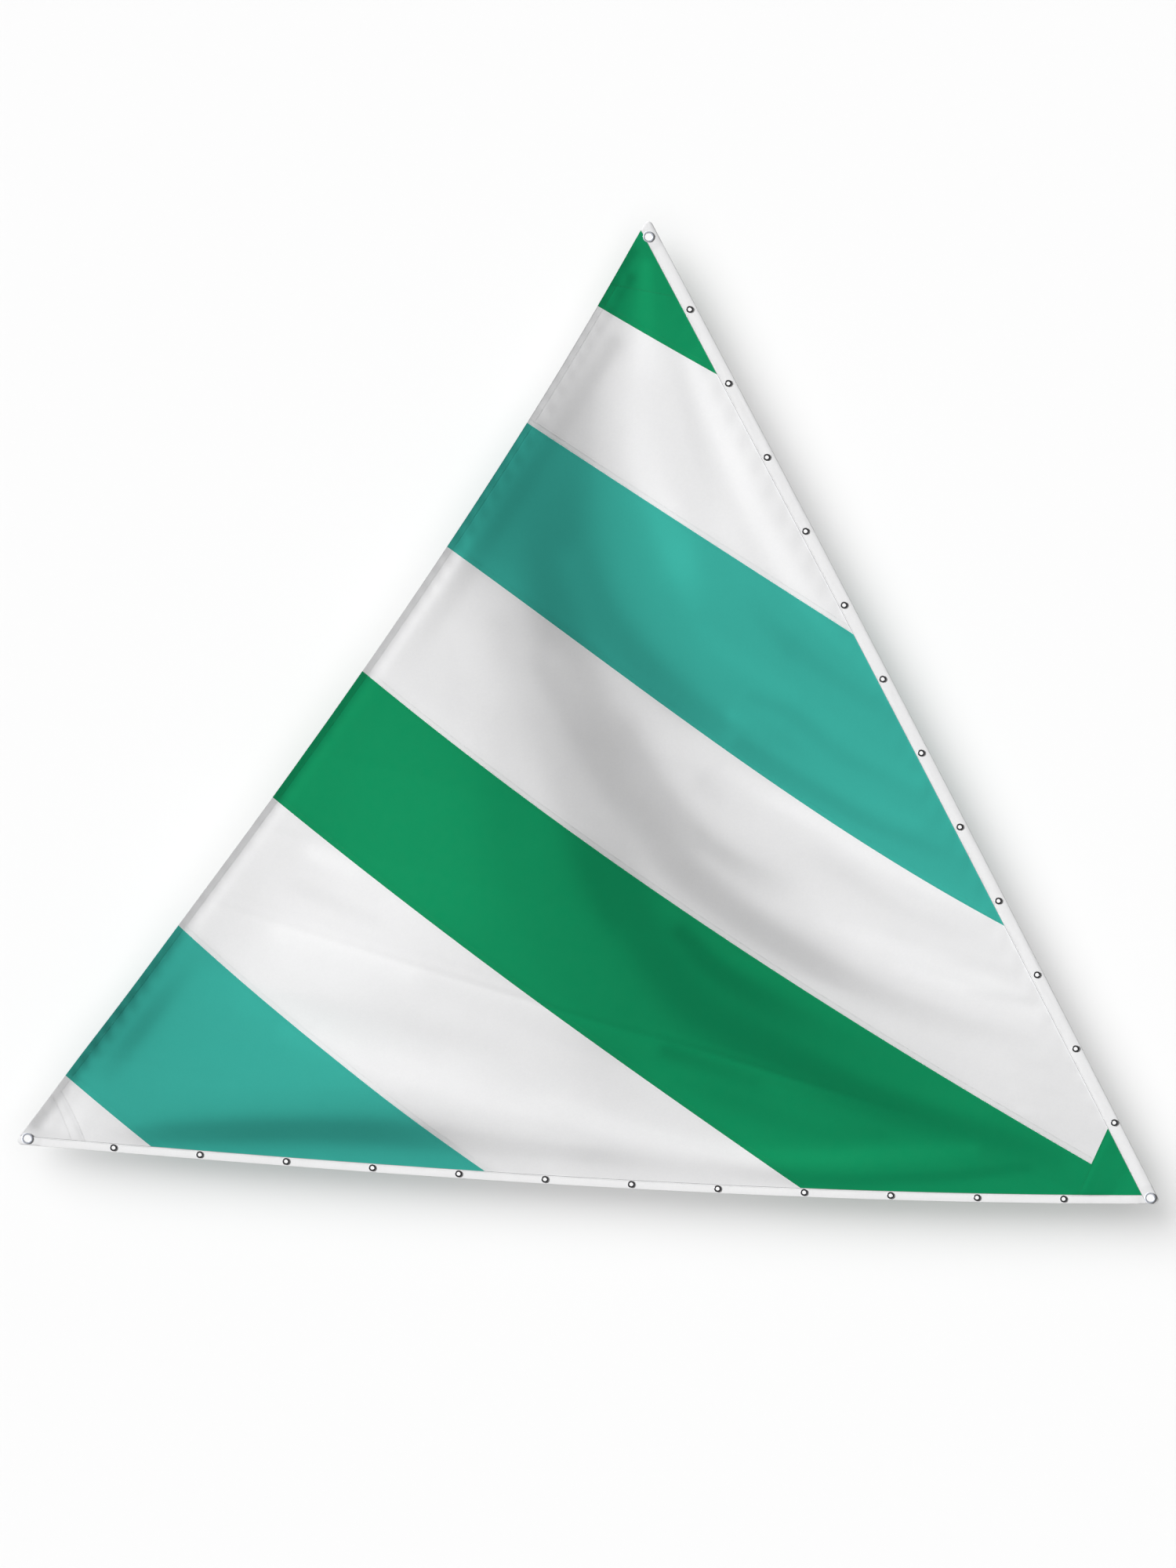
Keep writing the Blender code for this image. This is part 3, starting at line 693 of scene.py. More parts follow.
def punch(P, faces, holes):
    """Drops the faces round each hole, and rounds off what is left."""
    flat = P.reshape(-1, 3)
    for cx, cz, radius, reach in holes:
        d = np.hypot(flat[:, 0] - cx, flat[:, 2] - cz)
        middle = flat[faces].mean(axis=1)
        gone = np.hypot(middle[:, 0] - cx, middle[:, 2] - cz) < radius
        used = np.zeros(len(flat), bool)
        used[faces[gone].ravel()] = True
        faces = faces[~gone]
        kept = np.zeros(len(flat), bool)
        kept[faces.ravel()] = True
        rim = used & kept & (d > 1e-6) & (d < reach)
        scale = radius / d[rim]
        flat[rim, 0] = cx + (flat[rim, 0] - cx) * scale
        flat[rim, 2] = cz + (flat[rim, 2] - cz) * scale
    return flat, faces


def drop_loose(verts, faces, *extra):
    used = np.unique(faces)
    index = np.full(len(verts), -1, dtype=np.int32)
    index[used] = np.arange(len(used))
    return (verts[used], index[faces], *[e[used] for e in extra])


# ---------------------------------------------------------------- materials
def node(tree, kind, at, **settings):
    n = tree.nodes.new(kind)
    n.location = at
    for key, value in settings.items():
        setattr(n, key, value)
    return n


class Shade:
    """A node tree under construction, with short ways to add to it."""

    def __init__(self, name):
        self.material = bpy.data.materials.new(name)
        self.material.use_nodes = True
        self.tree = self.material.node_tree
        self.tree.nodes.clear()
        self.out = node(self.tree, "ShaderNodeOutputMaterial", (900, 0))
        self.column = -1200

    def link(self, a, b):
        self.tree.links.new(a, b)

    def add(self, kind, inputs=None, **settings):
        self.column += 40
        n = node(self.tree, kind, (self.column, (self.column * 7) % 500), **settings)
        for key, value in (inputs or {}).items():
            socket = n.inputs[key]
            if hasattr(value, "is_output"):
                self.link(value, socket)
            else:
                socket.default_value = value
        return n

    def noise(self, vector, scale, detail=3.0, rough=0.55):
        n = self.add("ShaderNodeTexNoise", {"Vector": vector, "Scale": scale,
                                            "Detail": detail, "Roughness": rough})
        return n.outputs["Fac"]

    def between(self, value, a, b, c, d):
        n = self.add("ShaderNodeMapRange", {"Value": value, "From Min": a,
                                            "From Max": b, "To Min": c, "To Max": d})
        return n.outputs["Result"]

    def math(self, operation, a, b=0.0):
        n = self.add("ShaderNodeMath", {0: a, 1: b}, operation=operation)
        return n.outputs[0]

    def mix(self, factor, a, b, blend="MIX"):
        n = self.add("ShaderNodeMix", data_type="RGBA", blend_type=blend)
        for socket, value in ((n.inputs[0], factor), (n.inputs[6], a),
                              (n.inputs[7], b)):
            if hasattr(value, "is_output"):
                self.link(value, socket)
            else:
                socket.default_value = value
        return n.outputs[2]


COLOURS = {
    "green": (0.0015, 0.2760, 0.1060),
    "teal": (0.0400, 0.4100, 0.3380),
    "white": (0.8550, 0.8550, 0.8600),
    "tape": (0.8860, 0.8860, 0.8900),
}


def rgba(c, k=1.0):
    return (min(c[0] * k, 1.0), min(c[1] * k, 1.0), min(c[2] * k, 1.0), 1.0)


def cloth_material(name, colour, wear=0.0, glow=0.14, line=0.0):
    """Woven polyester sailcloth: weave, mottle, hand creases, soft soil, and painted shade at a
    tape's free edge and corners.
    """
    s = Shade(name)
    place = s.add("ShaderNodeTexCoord")
    uv = s.add("ShaderNodeUVMap", uv_map="cloth").outputs["UV"]
    where = place.outputs["Object"]
    ply = s.add("ShaderNodeAttribute", attribute_name="ply").outputs["Fac"]

    # colour: slow drift, uneven dye, fine mottle
    drift = s.noise(where, 1.7, 2.0)
    dye = s.noise(where, 9.0, 4.0, 0.6)
    mottle = s.noise(where, 130.0, 3.0, 0.65)
    c = COLOURS[colour]
    base = s.mix(s.between(drift, 0.3, 0.7, 0.0, 1.0), rgba(c, 0.985), rgba(c, 1.015))
    base = s.mix(s.between(dye, 0.40, 0.75, 0.0, 1.0), base,
                 s.mix(1.0, base, (0.985, 0.985, 0.985, 1.0), "MULTIPLY"))
    base = s.mix(s.between(mottle, 0.35, 0.65, 0.0, 1.0),
                 s.mix(1.0, base, (0.98, 0.98, 0.98, 1.0), "MULTIPLY"), base)
    # two layers of cloth let less through and look a little fuller
    two = s.between(ply, 1.0, 2.0, 0.0, 1.0)
    full = rgba(c, 1.07) if colour in ("green", "teal") else rgba(c, 1.01)
    base = s.mix(s.math("MULTIPLY", two, 0.8), base, full)
    if line:
        # painted shade: a dark line along the tape's free edge, and darker tape near each
        # corner, where shade falls
        edge_shade = s.add("ShaderNodeAttribute", attribute_name="line").outputs["Fac"]
        base = s.mix(s.math("MULTIPLY", edge_shade, line), base, (0.26, 0.26, 0.27, 1.0))
    if wear:
        grime = s.noise(where, 22.0, 5.0, 0.7)
        amount = s.between(grime, 0.52, 0.78, 0.0, wear)
        base = s.mix(amount, base, (0.47, 0.46, 0.43, 1.0))

    # weave: over and under threads, from the panel's own directions
    yarn = 1 / 0.0011
    along = s.add("ShaderNodeVectorMath", {0: uv, 1: (yarn, yarn, yarn)},
                  operation="MULTIPLY").outputs[0]
    axes = s.add("ShaderNodeSeparateXYZ", {0: along})
    over = s.math("SINE", s.math("MULTIPLY", axes.outputs[0], math.pi))
    under = s.math("SINE", s.math("MULTIPLY", axes.outputs[1], math.pi))
    weave = s.math("MULTIPLY", over, under)
    cut = s.noise(along, 0.7, 2.0)
    weave = s.math("MULTIPLY", weave, s.between(cut, 0.2, 0.8, 0.7, 1.2))

    # creases from folding and handling: ridged noise in two sizes
    warp = s.noise(where, 3.0, 2.0)
    turn = s.add("ShaderNodeVectorMath", {0: where, 1: warp}, operation="ADD")
    ridge = s.noise(turn.outputs[0], 7.0, 2.0, 0.5)
    ridge = s.math("ABSOLUTE", s.math("SUBTRACT", ridge, 0.5))
    ridge = s.between(ridge, 0.0, 0.06, 1.0, 0.0)
    fine = s.noise(where, 46.0, 3.0, 0.6)

    bump = s.add("ShaderNodeBump", {"Height": fine, "Strength": 1.0,
                                    "Distance": 0.00005})
    bump = s.add("ShaderNodeBump", {"Height": ridge, "Strength": 1.0,
                                    "Distance": 0.00002,
                                    "Normal": bump.outputs[0]})
    bump = s.add("ShaderNodeBump", {"Height": weave, "Strength": 0.5,
                                    "Distance": 0.00003,
                                    "Normal": bump.outputs[0]})

    rough = s.between(s.noise(where, 30.0, 4.0, 0.6), 0.3, 0.7, 0.50, 0.64)
    body = s.add("ShaderNodeBsdfPrincipled", {
        "Base Color": base, "Roughness": rough, "Normal": bump.outputs[0],
        "Specular IOR Level": 0.14, "Sheen Weight": 0.02, "Sheen Roughness": 0.5,
    })
    through = s.add("ShaderNodeBsdfTranslucent", {"Color": base,
                                                  "Normal": bump.outputs[0]})
    mixed = s.add("ShaderNodeMixShader", {0: glow, 1: body.outputs[0],
                                          2: through.outputs[0]})
    s.link(mixed.outputs[0], s.out.inputs["Surface"])
    return s.material


def thread_material(name, colour):
    """Twisted polyester thread."""
    s = Shade(name)
    where = s.add("ShaderNodeTexCoord").outputs["Object"]
    twist = s.add("ShaderNodeTexWave", {"Vector": where, "Scale": 900.0,
                                        "Distortion": 1.2}, bands_direction="DIAGONAL")
    tone = s.mix(twist.outputs["Fac"], rgba(colour, 0.90), rgba(colour, 1.0))
    bump = s.add("ShaderNodeBump", {"Height": twist.outputs["Fac"], "Strength": 0.4,
                                    "Distance": 0.00005})
    rough = s.between(s.noise(where, 60.0), 0.3, 0.7, 0.42, 0.6)
    body = s.add("ShaderNodeBsdfPrincipled", {
        "Base Color": tone, "Roughness": rough, "Normal": bump.outputs[0],
        "Sheen Weight": 0.15,
    })
    s.link(body.outputs[0], s.out.inputs["Surface"])
    return s.material


def metal_material(name, colour, dull, low, high, metallic=1.0):
    """Plated brass: handling marks and some tarnish."""
    s = Shade(name)
    where = s.add("ShaderNodeTexCoord").outputs["Object"]
    stain = s.noise(where, 260.0, 5.0, 0.65)
    spots = s.noise(where, 900.0, 3.0, 0.7)
    tone = s.mix(s.between(stain, 0.35, 0.7, 0.0, 1.0), rgba(colour), rgba(dull))
    tone = s.mix(s.between(spots, 0.6, 0.8, 0.0, 0.5), tone, rgba(dull, 0.7))
    rough = s.between(stain, 0.3, 0.75, low, high)
    bump = s.add("ShaderNodeBump", {"Height": spots, "Strength": 0.35,
                                    "Distance": 0.00006})
    body = s.add("ShaderNodeBsdfPrincipled", {
        "Base Color": tone, "Metallic": metallic, "Roughness": rough,
        "Normal": bump.outputs[0],
    })
    s.link(body.outputs[0], s.out.inputs["Surface"])
    return s.material


CLOTHS = {c: cloth_material("sailcloth_" + c, c) for c in COLOURS}
# line=0.9 paints shade on the tape along its free edge and near its corners
TAPE = cloth_material("tape_white", "tape", wear=0.05, glow=0.05, line=0.9)
THREADS = {c: thread_material("thread_" + c, COLOURS[c]) for c in COLOURS}
DARK_METAL = metal_material("eyelet_dark_nickel", (0.15, 0.15, 0.16),
                            (0.09, 0.09, 0.095), 0.30, 0.46)
BRIGHT_METAL = metal_material("eyelet_bright_nickel", (0.76, 0.79, 0.86),
                              (0.50, 0.53, 0.60), 0.26, 0.40, 0.50)

PIECES = []


def keep(obj, nodes):
    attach(obj, "root")
    if nodes:
        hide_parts(*nodes)
    PIECES.append(obj)
    return obj


# ------------------------------------------------------------------- panels
STEP = 0.0060
LAY = 0.17 * MM  # each of two lapped layers stands this far from the middle one
HEM_BACK = 0.60 * MM

FRONT_INSETS = (0.00004, 0.00012, 0.0010, 0.0024, 0.0040, 0.0062, 0.0100, 0.0150,
                0.0190, 0.0215, 0.0235, 0.0258, 0.0290, 0.0330, 0.0380, 0.0440)
FLAP_INSETS = (0.0250, 0.0245, 0.0228, 0.0205, 0.0180, 0.0145, 0.0105, 0.0070,
               0.0040, 0.0020, 0.0009)


def panel_rows(index):
    """Rows of one panel as (row, layer, ply), from its top edge down."""
    rows = []
    if index == 0:
        first = TOP_ROW
        rows.append((TOP_ROW, 0.0, 1.0))
    else:
        seam = SEAM_ROWS[index - 1]
        for d in (20.0, 19.96, 19.9, 17.5, 14.0, 10.0, 6.0, 3.0, 1.0, 0.0):
            rows.append((seam.lapped(d * MM), LAY, 2.0))
        first = seam
    if index == len(SEAM_ROWS):
        last, end = BOTTOM_ROW, []
    else:
        seam = SEAM_ROWS[index]
        last = seam.lapped()
        end = [(seam.lapped(d * MM), -LAY, 2.0)
               for d in (20.0, 17.5, 14.0, 10.0, 6.0, 3.0, 1.2, 0.12, 0.04, 0.0)]
    start = first
    if index == 4:
        start = Row(first.s, 1.0 + TACK_ON_FOOT, first.sag, first.skew)
    u = np.linspace(0.0, 1.0, 30)
    ax, az = start.points(u)
    bx, bz = last.points(u)
    span = float(np.hypot(ax - bx, az - bz).max())
    ts = [d / span for d in (0.0015, 0.004, 0.008, 0.013)]
    n = max(int(span / STEP), 4)
    ts += [t for t in np.linspace(0.0, 1.0, n + 1)[1:-1]
           if 0.017 / span < t < 1 - 0.017 / span]
    ts += [1 - d / span for d in (0.013, 0.008, 0.004, 0.0015)]
    for t in ts:
        row = between(start, last, t)
        layer = 0.0
        if index > 0:
            layer += LAY * (1 - float(ramp(t * span, 0.0, 0.030)))
        if index < len(SEAM_ROWS):
            layer -= LAY * (1 - float(ramp((1 - t) * span, 0.0, 0.030)))
        rows.append((row, layer, 1.0))
    if index == len(SEAM_ROWS):
        rows.append((BOTTOM_ROW, 0.0, 1.0))
    return rows + end


def make_panel(index):
    name = PANEL_NAMES[index]
    rows = panel_rows(index)
    longest = max(row.length for row, _, _ in rows)
    n = max(int(longest / STEP), 12)
    P, UV, PLY = [], [], []
    u_scan = np.concatenate([np.linspace(0, 0.12, 60), np.linspace(0.125, 1, 120)])
    first = rows[0][0]
    for row, layer, ply in rows:
        x, z = row.points(u_scan)
        leech_inset = leech.inset(x, z)
        rising = np.maximum.accumulate(leech_inset)
        reach = min(0.05, 0.30 * row.length)
        us_front = np.interp(np.array(FRONT_INSETS) * min(1, reach / 0.05),
                             rising, u_scan)
        us_flap = np.interp(np.array(FLAP_INSETS) * min(1, reach / 0.05),
                            rising, u_scan)
        # the row runs on from the hem to the tape, and into it
        edge_inset = row.edge.inset(x, z)
        clear = np.interp(-row.clear, -edge_inset[::-1][::-1], u_scan)
        clear = max(clear, us_front[-1] + 0.02)
        middle = np.linspace(us_front[-1], clear, n + 1)[1:]
        tail = clear + (1.0 - clear) * np.array((0.25, 0.5, 0.75, 1.0))
        u = np.concatenate([us_flap, us_front[:1], us_front, middle, tail])
        px, pz = row.points(u)
        h = stand(px, pz)
        y = np.full(u.shape, layer)
        k = len(us_flap)
        y[:k] = HEM_BACK - layer
        # the fold itself, a small round nose on the finished edge
        y[k] = HEM_BACK / 2
        h[k] = h[k + 1]
        P.append(np.stack([px, y - h, pz], axis=1))
        along = np.concatenate([-us_flap, [0.0], us_front, middle, tail])
        across = (row.s - first.s) * leech.length * 0.88
        UV.append(np.stack([along * row.length, np.full(u.shape, across)], axis=1))
        two = np.full(u.shape, ply)
        two[: k + 13] = 2.0
        two[k + 13] = 1.5 if ply < 2 else 2.0
        PLY.append(two)
    # the cut edge of the lap turns down on the cloth behind it
    P, UV, PLY = np.array(P), np.array(UV), np.array(PLY)
    if index < len(SEAM_ROWS):
        P[-1, :, 1] += 0.26 * MM
    if index > 0:
        P[0, :, 1] -= 0.2 * MM
    R, C = P.shape[:2]
    holes = [(*CLEW, 0.0160, 0.024)] if index == len(SEAM_ROWS) else []
    verts, faces = punch(P, grid_faces(R, C)[:, ::-1], holes)
    verts, faces, uv, two = drop_loose(verts, faces, UV.reshape(-1, 2), PLY.ravel())
    return new_mesh(name + "_cloth", verts, faces,
                    [CLOTHS[PANEL_CLOTH[index]]], uv, {"ply": two})


panels = []
for index, name in enumerate(PANEL_NAMES):
    obj = make_panel(index)
    keep(obj, [name, "leech_hem"])
    panels.append(obj)


# -------------------------------------------------------------------- tapes
EYELETS_PER_EDGE = 12
LUFF_EYELET_OUT = 0.0106
FOOT_EYELET_IN = 0.0163

luff_centres, foot_centres = [], []
for k in range(1, EYELETS_PER_EDGE + 1):
    t = k / (EYELETS_PER_EDGE + 1)
    luff_centres.append(tuple(
        luff.a + luff.along * (t * luff.length) + luff.normal * LUFF_EYELET_OUT
    ))
    x, z = foot.point(t, FOOT_EYELET_IN)
    foot_centres.append((float(x), float(z)))

# how far the tape stands off, in shares, at these distances inside its edge
ROLL_AT = np.array((0.0, 0.08, 0.25, 0.8, 2.86, 5.7, 8.6, 11.4, 17.0, 21.0)) * MM
ROLL = np.array((0.0, 0.62, 0.75, 0.79, 0.838, 0.895, 0.936, 0.960, 0.984, 1.0))


def full_head(x, z):
    """The outline with the tape's end at the head, fuller than the cloth's corner."""
    a = luff.inset(x, z)
    b = leech.inset(x, z) + 0.0015 * (1 - ramp(a, 0.026, 0.046))
    k = 0.028
    near = np.maximum(k - np.abs(a - b), 0.0) / k
    flap = np.minimum(a, b) - near * near * k / 4
    return np.where(np.hypot(x - HEAD[0], z - HEAD[1]) < 0.10, flap, margin(x, z))


class Tape:
    """A strip folded over an edge: where its front and back leaves lie."""

    def __init__(self, edge, width, front, back, corners, seed, room):
        self.edge, self.width = edge, width
        self.front, self.back = front, back
        self.corners, self.seed = corners, seed
        self.room = room  # how far a place is inside the tape's own outline

    def waves(self, s, inset, side):
        """Soft dents in the tape, in two sizes."""
        run = s * self.edge.length
        slow = noise_2d(run * 9.0, inset * 60.0 + side * 7.0, self.seed)
        quick = noise_2d(run * 34.0, inset * 150.0 + side * 3.0, self.seed + 1)
        return (0.00010 * slow + 0.00003 * quick) * ramp(inset, 0.002, 0.010)

    def leaf(self, s, inset, side):
        """Offset from the cloth: side -1 is the front leaf, 1 the back one."""
        x, z = self.edge.point(s, inset)
        m = np.clip(self.room(x, z), 0.0, 1.0)
        full = self.front if side < 0 else self.back
        own = np.interp(np.clip(inset, 0.0, 1.0), ROLL_AT, ROLL)
        nose = np.interp(m, ROLL_AT[:4], ROLL[:4] / ROLL[3])
        roll = np.minimum(own, nose)
        # the free edge comes down on the cloth, where the stitches hold it
        floor = 0.0006 + 0.0008 * self.over_patch(s)
        down = ramp(inset, self.width - 0.00002, self.width)
        off = full * roll * (1 - down) + floor * down
        return side * (off + self.waves(s, inset, side) * (1 - down))

    def over_patch(self, s):
        (a, b) = self.corners
        return (1 - ramp(s, a, a + 0.01)) + ramp(s, b - 0.01, b)

    def surface(self, s, inset, side):
        x, z = self.edge.point(s, inset)
        return x, self.leaf(s, inset, side) - stand(x, z), z


LUFF = Tape(luff, LUFF_TAPE_W, 2.7 * MM, 2.1 * MM, (0.066, 0.920), 11, full_head)
FOOT = Tape(foot, FOOT_TAPE_W, 2.1 * MM, 1.5 * MM, (0.068, 0.945), 17, margin)


def ends_of(edge, inset, limit_a, limit_b):
    """Where a line along the edge enters and leaves the outline."""
    s = np.linspace(-0.03, 0.1, 2601)
    ok = limit_a(*edge.point(s, inset)) > 0
    s0 = s[np.argmax(ok)]
    s = np.linspace(1.03, 0.9, 2601)
    ok = limit_b(*edge.point(s, inset)) > 0
    return float(s0), float(s[np.argmax(ok)])


def at_outline(x, z):
    return margin(x, z) - 0.00005


def at_head(x, z):
    return full_head(x, z) - 0.00005


def inside_luff(x, z):
    return np.minimum(margin(x, z) - 0.0002, luff.inset(x, z) - 0.0060)


def make_tape(name, tape, limit_a, limit_b, holes):
    w = tape.width
    near = np.array((0.00002, 0.00008, 0.00025, 0.0008, 0.0018, 0.0029, 0.0043,
                     0.0057, 0.0072, 0.0086, 0.0114, 0.0140))
    flat = np.arange(0.0140, w - 0.0060, 0.0032)[1:]
    last = np.array((0.0050, 0.0038, 0.0028, 0.0021, 0.0016, 0.0012, 0.0008, 0.0003,
                     0.00008, 0.00003, 0.0))
    insets = np.concatenate([near, flat, w - last])
    stations = 1080
    t = np.linspace(0.0, 1.0, stations)
    # more stations close to the ends, where the corners are round
    t = t + 0.0010 * np.sin(t * 2 * np.pi) * -1.0
    lines = []
    for side in (-1, 1):
        for inset in insets:
            reach = max(inset, 0.0003)
            s0, s1 = ends_of(tape.edge, reach, limit_a, limit_b)
            s = s0 + (s1 - s0) * t
            x, y, z = tape.surface(s, inset, side)
            lines.append((side, inset, np.stack([x, y, z], axis=1), s))
    front = [q for q in lines if q[0] < 0][::-1]
    back = [q for q in lines if q[0] > 0]
    order = front + back
    P = np.array([q[2] for q in order])
    run = np.array([q[3] * tape.edge.length for q in order])
    across = np.array([[q[0] * q[1]] * stations for q in order])
    UV = np.stack([run, across], axis=2)
    # painted shade: where the tape is painted darker, along its free edge on both leaves, and
    # near each corner, most at its outline
    line = ramp(np.abs(across), w - 0.0017, w - 0.0011)
    x, z = P[:, :, 0], P[:, :, 2]
    rim = 1 - ramp(tape.room(x, z), 0.0015, 0.0045)
    for (cx, cz), reach in ((HEAD, 0.045), (TACK, 0.040), (CLEW, 0.045)):
        corner_shade = 1 - ramp(np.hypot(x - cx, z - cz), reach, reach + 0.015)
        line = np.maximum(line, (0.08 + 0.40 * rim) * corner_shade)
    faces = grid_faces(len(order), stations)
    verts, faces = punch(P, faces, holes)
    verts, faces, uv, line = drop_loose(verts, faces, UV.reshape(-1, 2), line.ravel())
    ply = np.full(len(verts), 1.0)
    return new_mesh(name, verts, faces, [TAPE], uv, {"ply": ply, "line": line})


BIG_HOLES = [(*HEAD, 0.0160, 0.024), (*TACK, 0.0160, 0.024)]
luff_tape = make_tape("luff_tape_cloth", LUFF, at_head, at_outline,
                      [(*c, 0.0085, 0.0135) for c in luff_centres] + BIG_HOLES)
keep(luff_tape, ["luff_tape"])
foot_tape = make_tape("foot_tape_cloth", FOOT, inside_luff, at_outline,
                      [(*c, 0.0085, 0.0135) for c in foot_centres]
                      + [(*TACK, 0.0160, 0.024), (*CLEW, 0.0160, 0.024)])
keep(foot_tape, ["foot_tape"])


# ------------------------------------------------------------------ patches
def fan_points(one, other, s_one, s_other, hide, arc, n_rows, n_columns):
    """Rows from one edge to the other, from the corner out."""
    X, Z = [], []
    corner = one.a if tuple(one.a) in (tuple(other.a), tuple(other.b)) else one.b
    for t in np.linspace(0.0, 1.0, n_rows):
        ease = float(smooth(np.array(t * 2.0)))
        near = 0.006
        start = hide[0] if one is leech and hide[0] < near else near
        a = np.array(one.point(s_one[0] + (s_one[1] - s_one[0]) * t,
                               start + (hide[0] - start) * ease))
        b = np.array(other.point(s_other[0] + (s_other[1] - s_other[0]) * t,
                                 near + (hide[1] - near) * ease))
        d = (b - a) / np.hypot(*(b - a))
        away = np.array((d[1], -d[0]))
        if away @ ((a + b) / 2 - corner) < 0:
            away = -away
        u = np.linspace(0.0, 1.0, n_columns)
        bulge = arc * t * 4 * u * (1 - u)
        X.append(a[0] + (b[0] - a[0]) * u + away[0] * bulge)
        Z.append(a[1] + (b[1] - a[1]) * u + away[1] * bulge)
    return np.array(X), np.array(Z)


def make_patch(name, cloth, fan, offset, sink, hole):
    n_rows, n_columns = ((90, 72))
    X, Z = fan_points(*fan, n_rows, n_columns)
    y = np.full(X.shape, offset)
    # the free edge is sewn down on what is behind it
    near = ramp(np.linspace(0.0, 1.0, n_rows), 0.90, 0.985)[:, None]
    y = y - math.copysign(1.0, offset) * sink * near
    P = np.stack([X, y - stand(X, Z), Z], axis=2)
    run = np.arange(n_columns)[None, :] * 0.0035 + np.zeros((n_rows, 1))
    UV = np.stack([run, np.arange(n_rows)[:, None] * 0.003
                   + np.zeros((1, n_columns))], axis=2)
    faces = grid_faces(n_rows, n_columns)
    if offset > 0:
        faces = faces[:, ::-1]
    verts, faces = punch(P, faces, [(*hole, 0.0160, 0.024)])
    verts, faces, uv = drop_loose(verts, faces, UV.reshape(-1, 2))
    return new_mesh(name, verts, faces, [cloth], uv,
                    {"ply": np.full(len(verts), 2.0)})


FANS = {
    "head_patch": (leech, luff, (-0.001, 0.056), (-0.001, 0.0635),
                   (0.0006, LUFF_HIDE), 0.0),
    "head_patch_inner": (leech, luff, (0.000, 0.036), (0.000, 0.041),
                         (0.0275, LUFF_HIDE), 0.0),
    "tack_patch": (luff, foot, (0.9985, 0.9227), (0.0015, 0.0657),
                   (LUFF_HIDE, FOOT_HIDE), 0.0),
    "tack_patch_inner": (luff, foot, (0.9985, 0.956), (0.0015, 0.0400),
                         (LUFF_HIDE, FOOT_HIDE), 0.0),
    "clew_patch": (leech, foot, (1.0020, 0.9438), (1.0005, 0.9478),
                   (0.0006, FOOT_HIDE), 0.006),
    "clew_patch_inner": (leech, foot, (1.0020, 0.9540), (1.0005, 0.9602),
                         (0.0006, FOOT_HIDE), 0.005),
}
PATCHES = (
    ("head_patch", "green", -0.50 * MM, 0.35 * MM, HEAD),
    ("head_patch_inner", "green", 1.0 * MM, 0.25 * MM, HEAD),
    ("tack_patch", "green", -0.60 * MM, 0.25 * MM, TACK),
    ("tack_patch_inner", "green", 0.75 * MM, 0.25 * MM, TACK),
    ("clew_patch", "white", -0.36 * MM, 0.24 * MM, CLEW),
    ("clew_patch_inner", "white", -0.50 * MM, 0.05 * MM, CLEW),
)
patches = {}
for name, colour, offset, sink, corner in PATCHES:
    obj = make_patch(name + "_cloth", CLOTHS[colour], FANS[name], offset, sink, corner)
    keep(obj, [name])
    patches[name] = obj


# ------------------------------------------------------------------ eyelets
def turned(name, centre, profile, sides, material):
    """A closed profile of (radius, y) turned about the eyelet's centre."""
    a = np.linspace(0.0, 2 * np.pi, sides, endpoint=False)
    P = []
    for r, y in profile:
        P.append(np.stack([centre[0] + r * np.cos(a), np.full(sides, y),
                           centre[1] + r * np.sin(a)], axis=1))
    P.append(P[0])
    P = np.array(P)
    faces = grid_faces(len(P), sides, wrap=True)
    n = len(profile) * sides
    faces = np.where(faces >= n, faces - n, faces)
    return new_mesh(name, P[:-1], faces, [material])


def arc(cx, cy, r, a0, a1, n, squash=1.0):
    out = []
    for k in range(n + 1):
        a = math.radians(a0 + (a1 - a0) * k / n)
        out.append((cx + r * math.cos(a), cy + r * squash * math.sin(a)))
    return out


def eyelet_profile(hole, flange, lip, front, back, cloth_front, cloth_back):
    """Barrel, rounded front flange and rolled back lip; y grows to the back."""
    f, b = -front, back
    points = []
    # up the barrel and over the inner rim to the front face
    points += [(hole, b - 1.1 * MM), (hole, f + 1.1 * MM)]
    points += arc(hole + 1.1 * MM, f + 1.1 * MM, 1.1 * MM, 180, 270, 5)[1:]
    points += [(hole + (flange - hole) * 0.5, f + 0.05 * MM)]
    points += arc(flange - 1.0 * MM, f + 1.0 * MM, 1.0 * MM, 270, 360, 5)
    points += [(flange, -cloth_front + 0.10 * MM), (flange - 0.7 * MM,
                                                    -cloth_front + 0.25 * MM)]
    points += [(hole + 1.2 * MM, -cloth_front + 0.35 * MM),
               (hole + 1.0 * MM, cloth_back - 0.35 * MM)]
    points += [(lip - 0.7 * MM, cloth_back - 0.25 * MM),
               (lip, cloth_back - 0.10 * MM)]
    points += arc(lip - 1.0 * MM, b - 1.0 * MM, 1.0 * MM, 0, 90, 5)
    points += [(hole + (lip - hole) * 0.5, b - 0.05 * MM)]
    points += arc(hole + 1.1 * MM, b - 1.1 * MM, 1.1 * MM, 90, 180, 5)[:-1]
    return points


def washer_profile(inner, outer, low, high):
    r = 0.35 * MM
    points = [(inner, low), (inner, high - r)]
    points += arc(inner + r, high - r, r, 180, 90, 3)[1:]
    points += arc(outer - r, high - r, r, 90, 0, 3)
    return points + [(outer, low)]


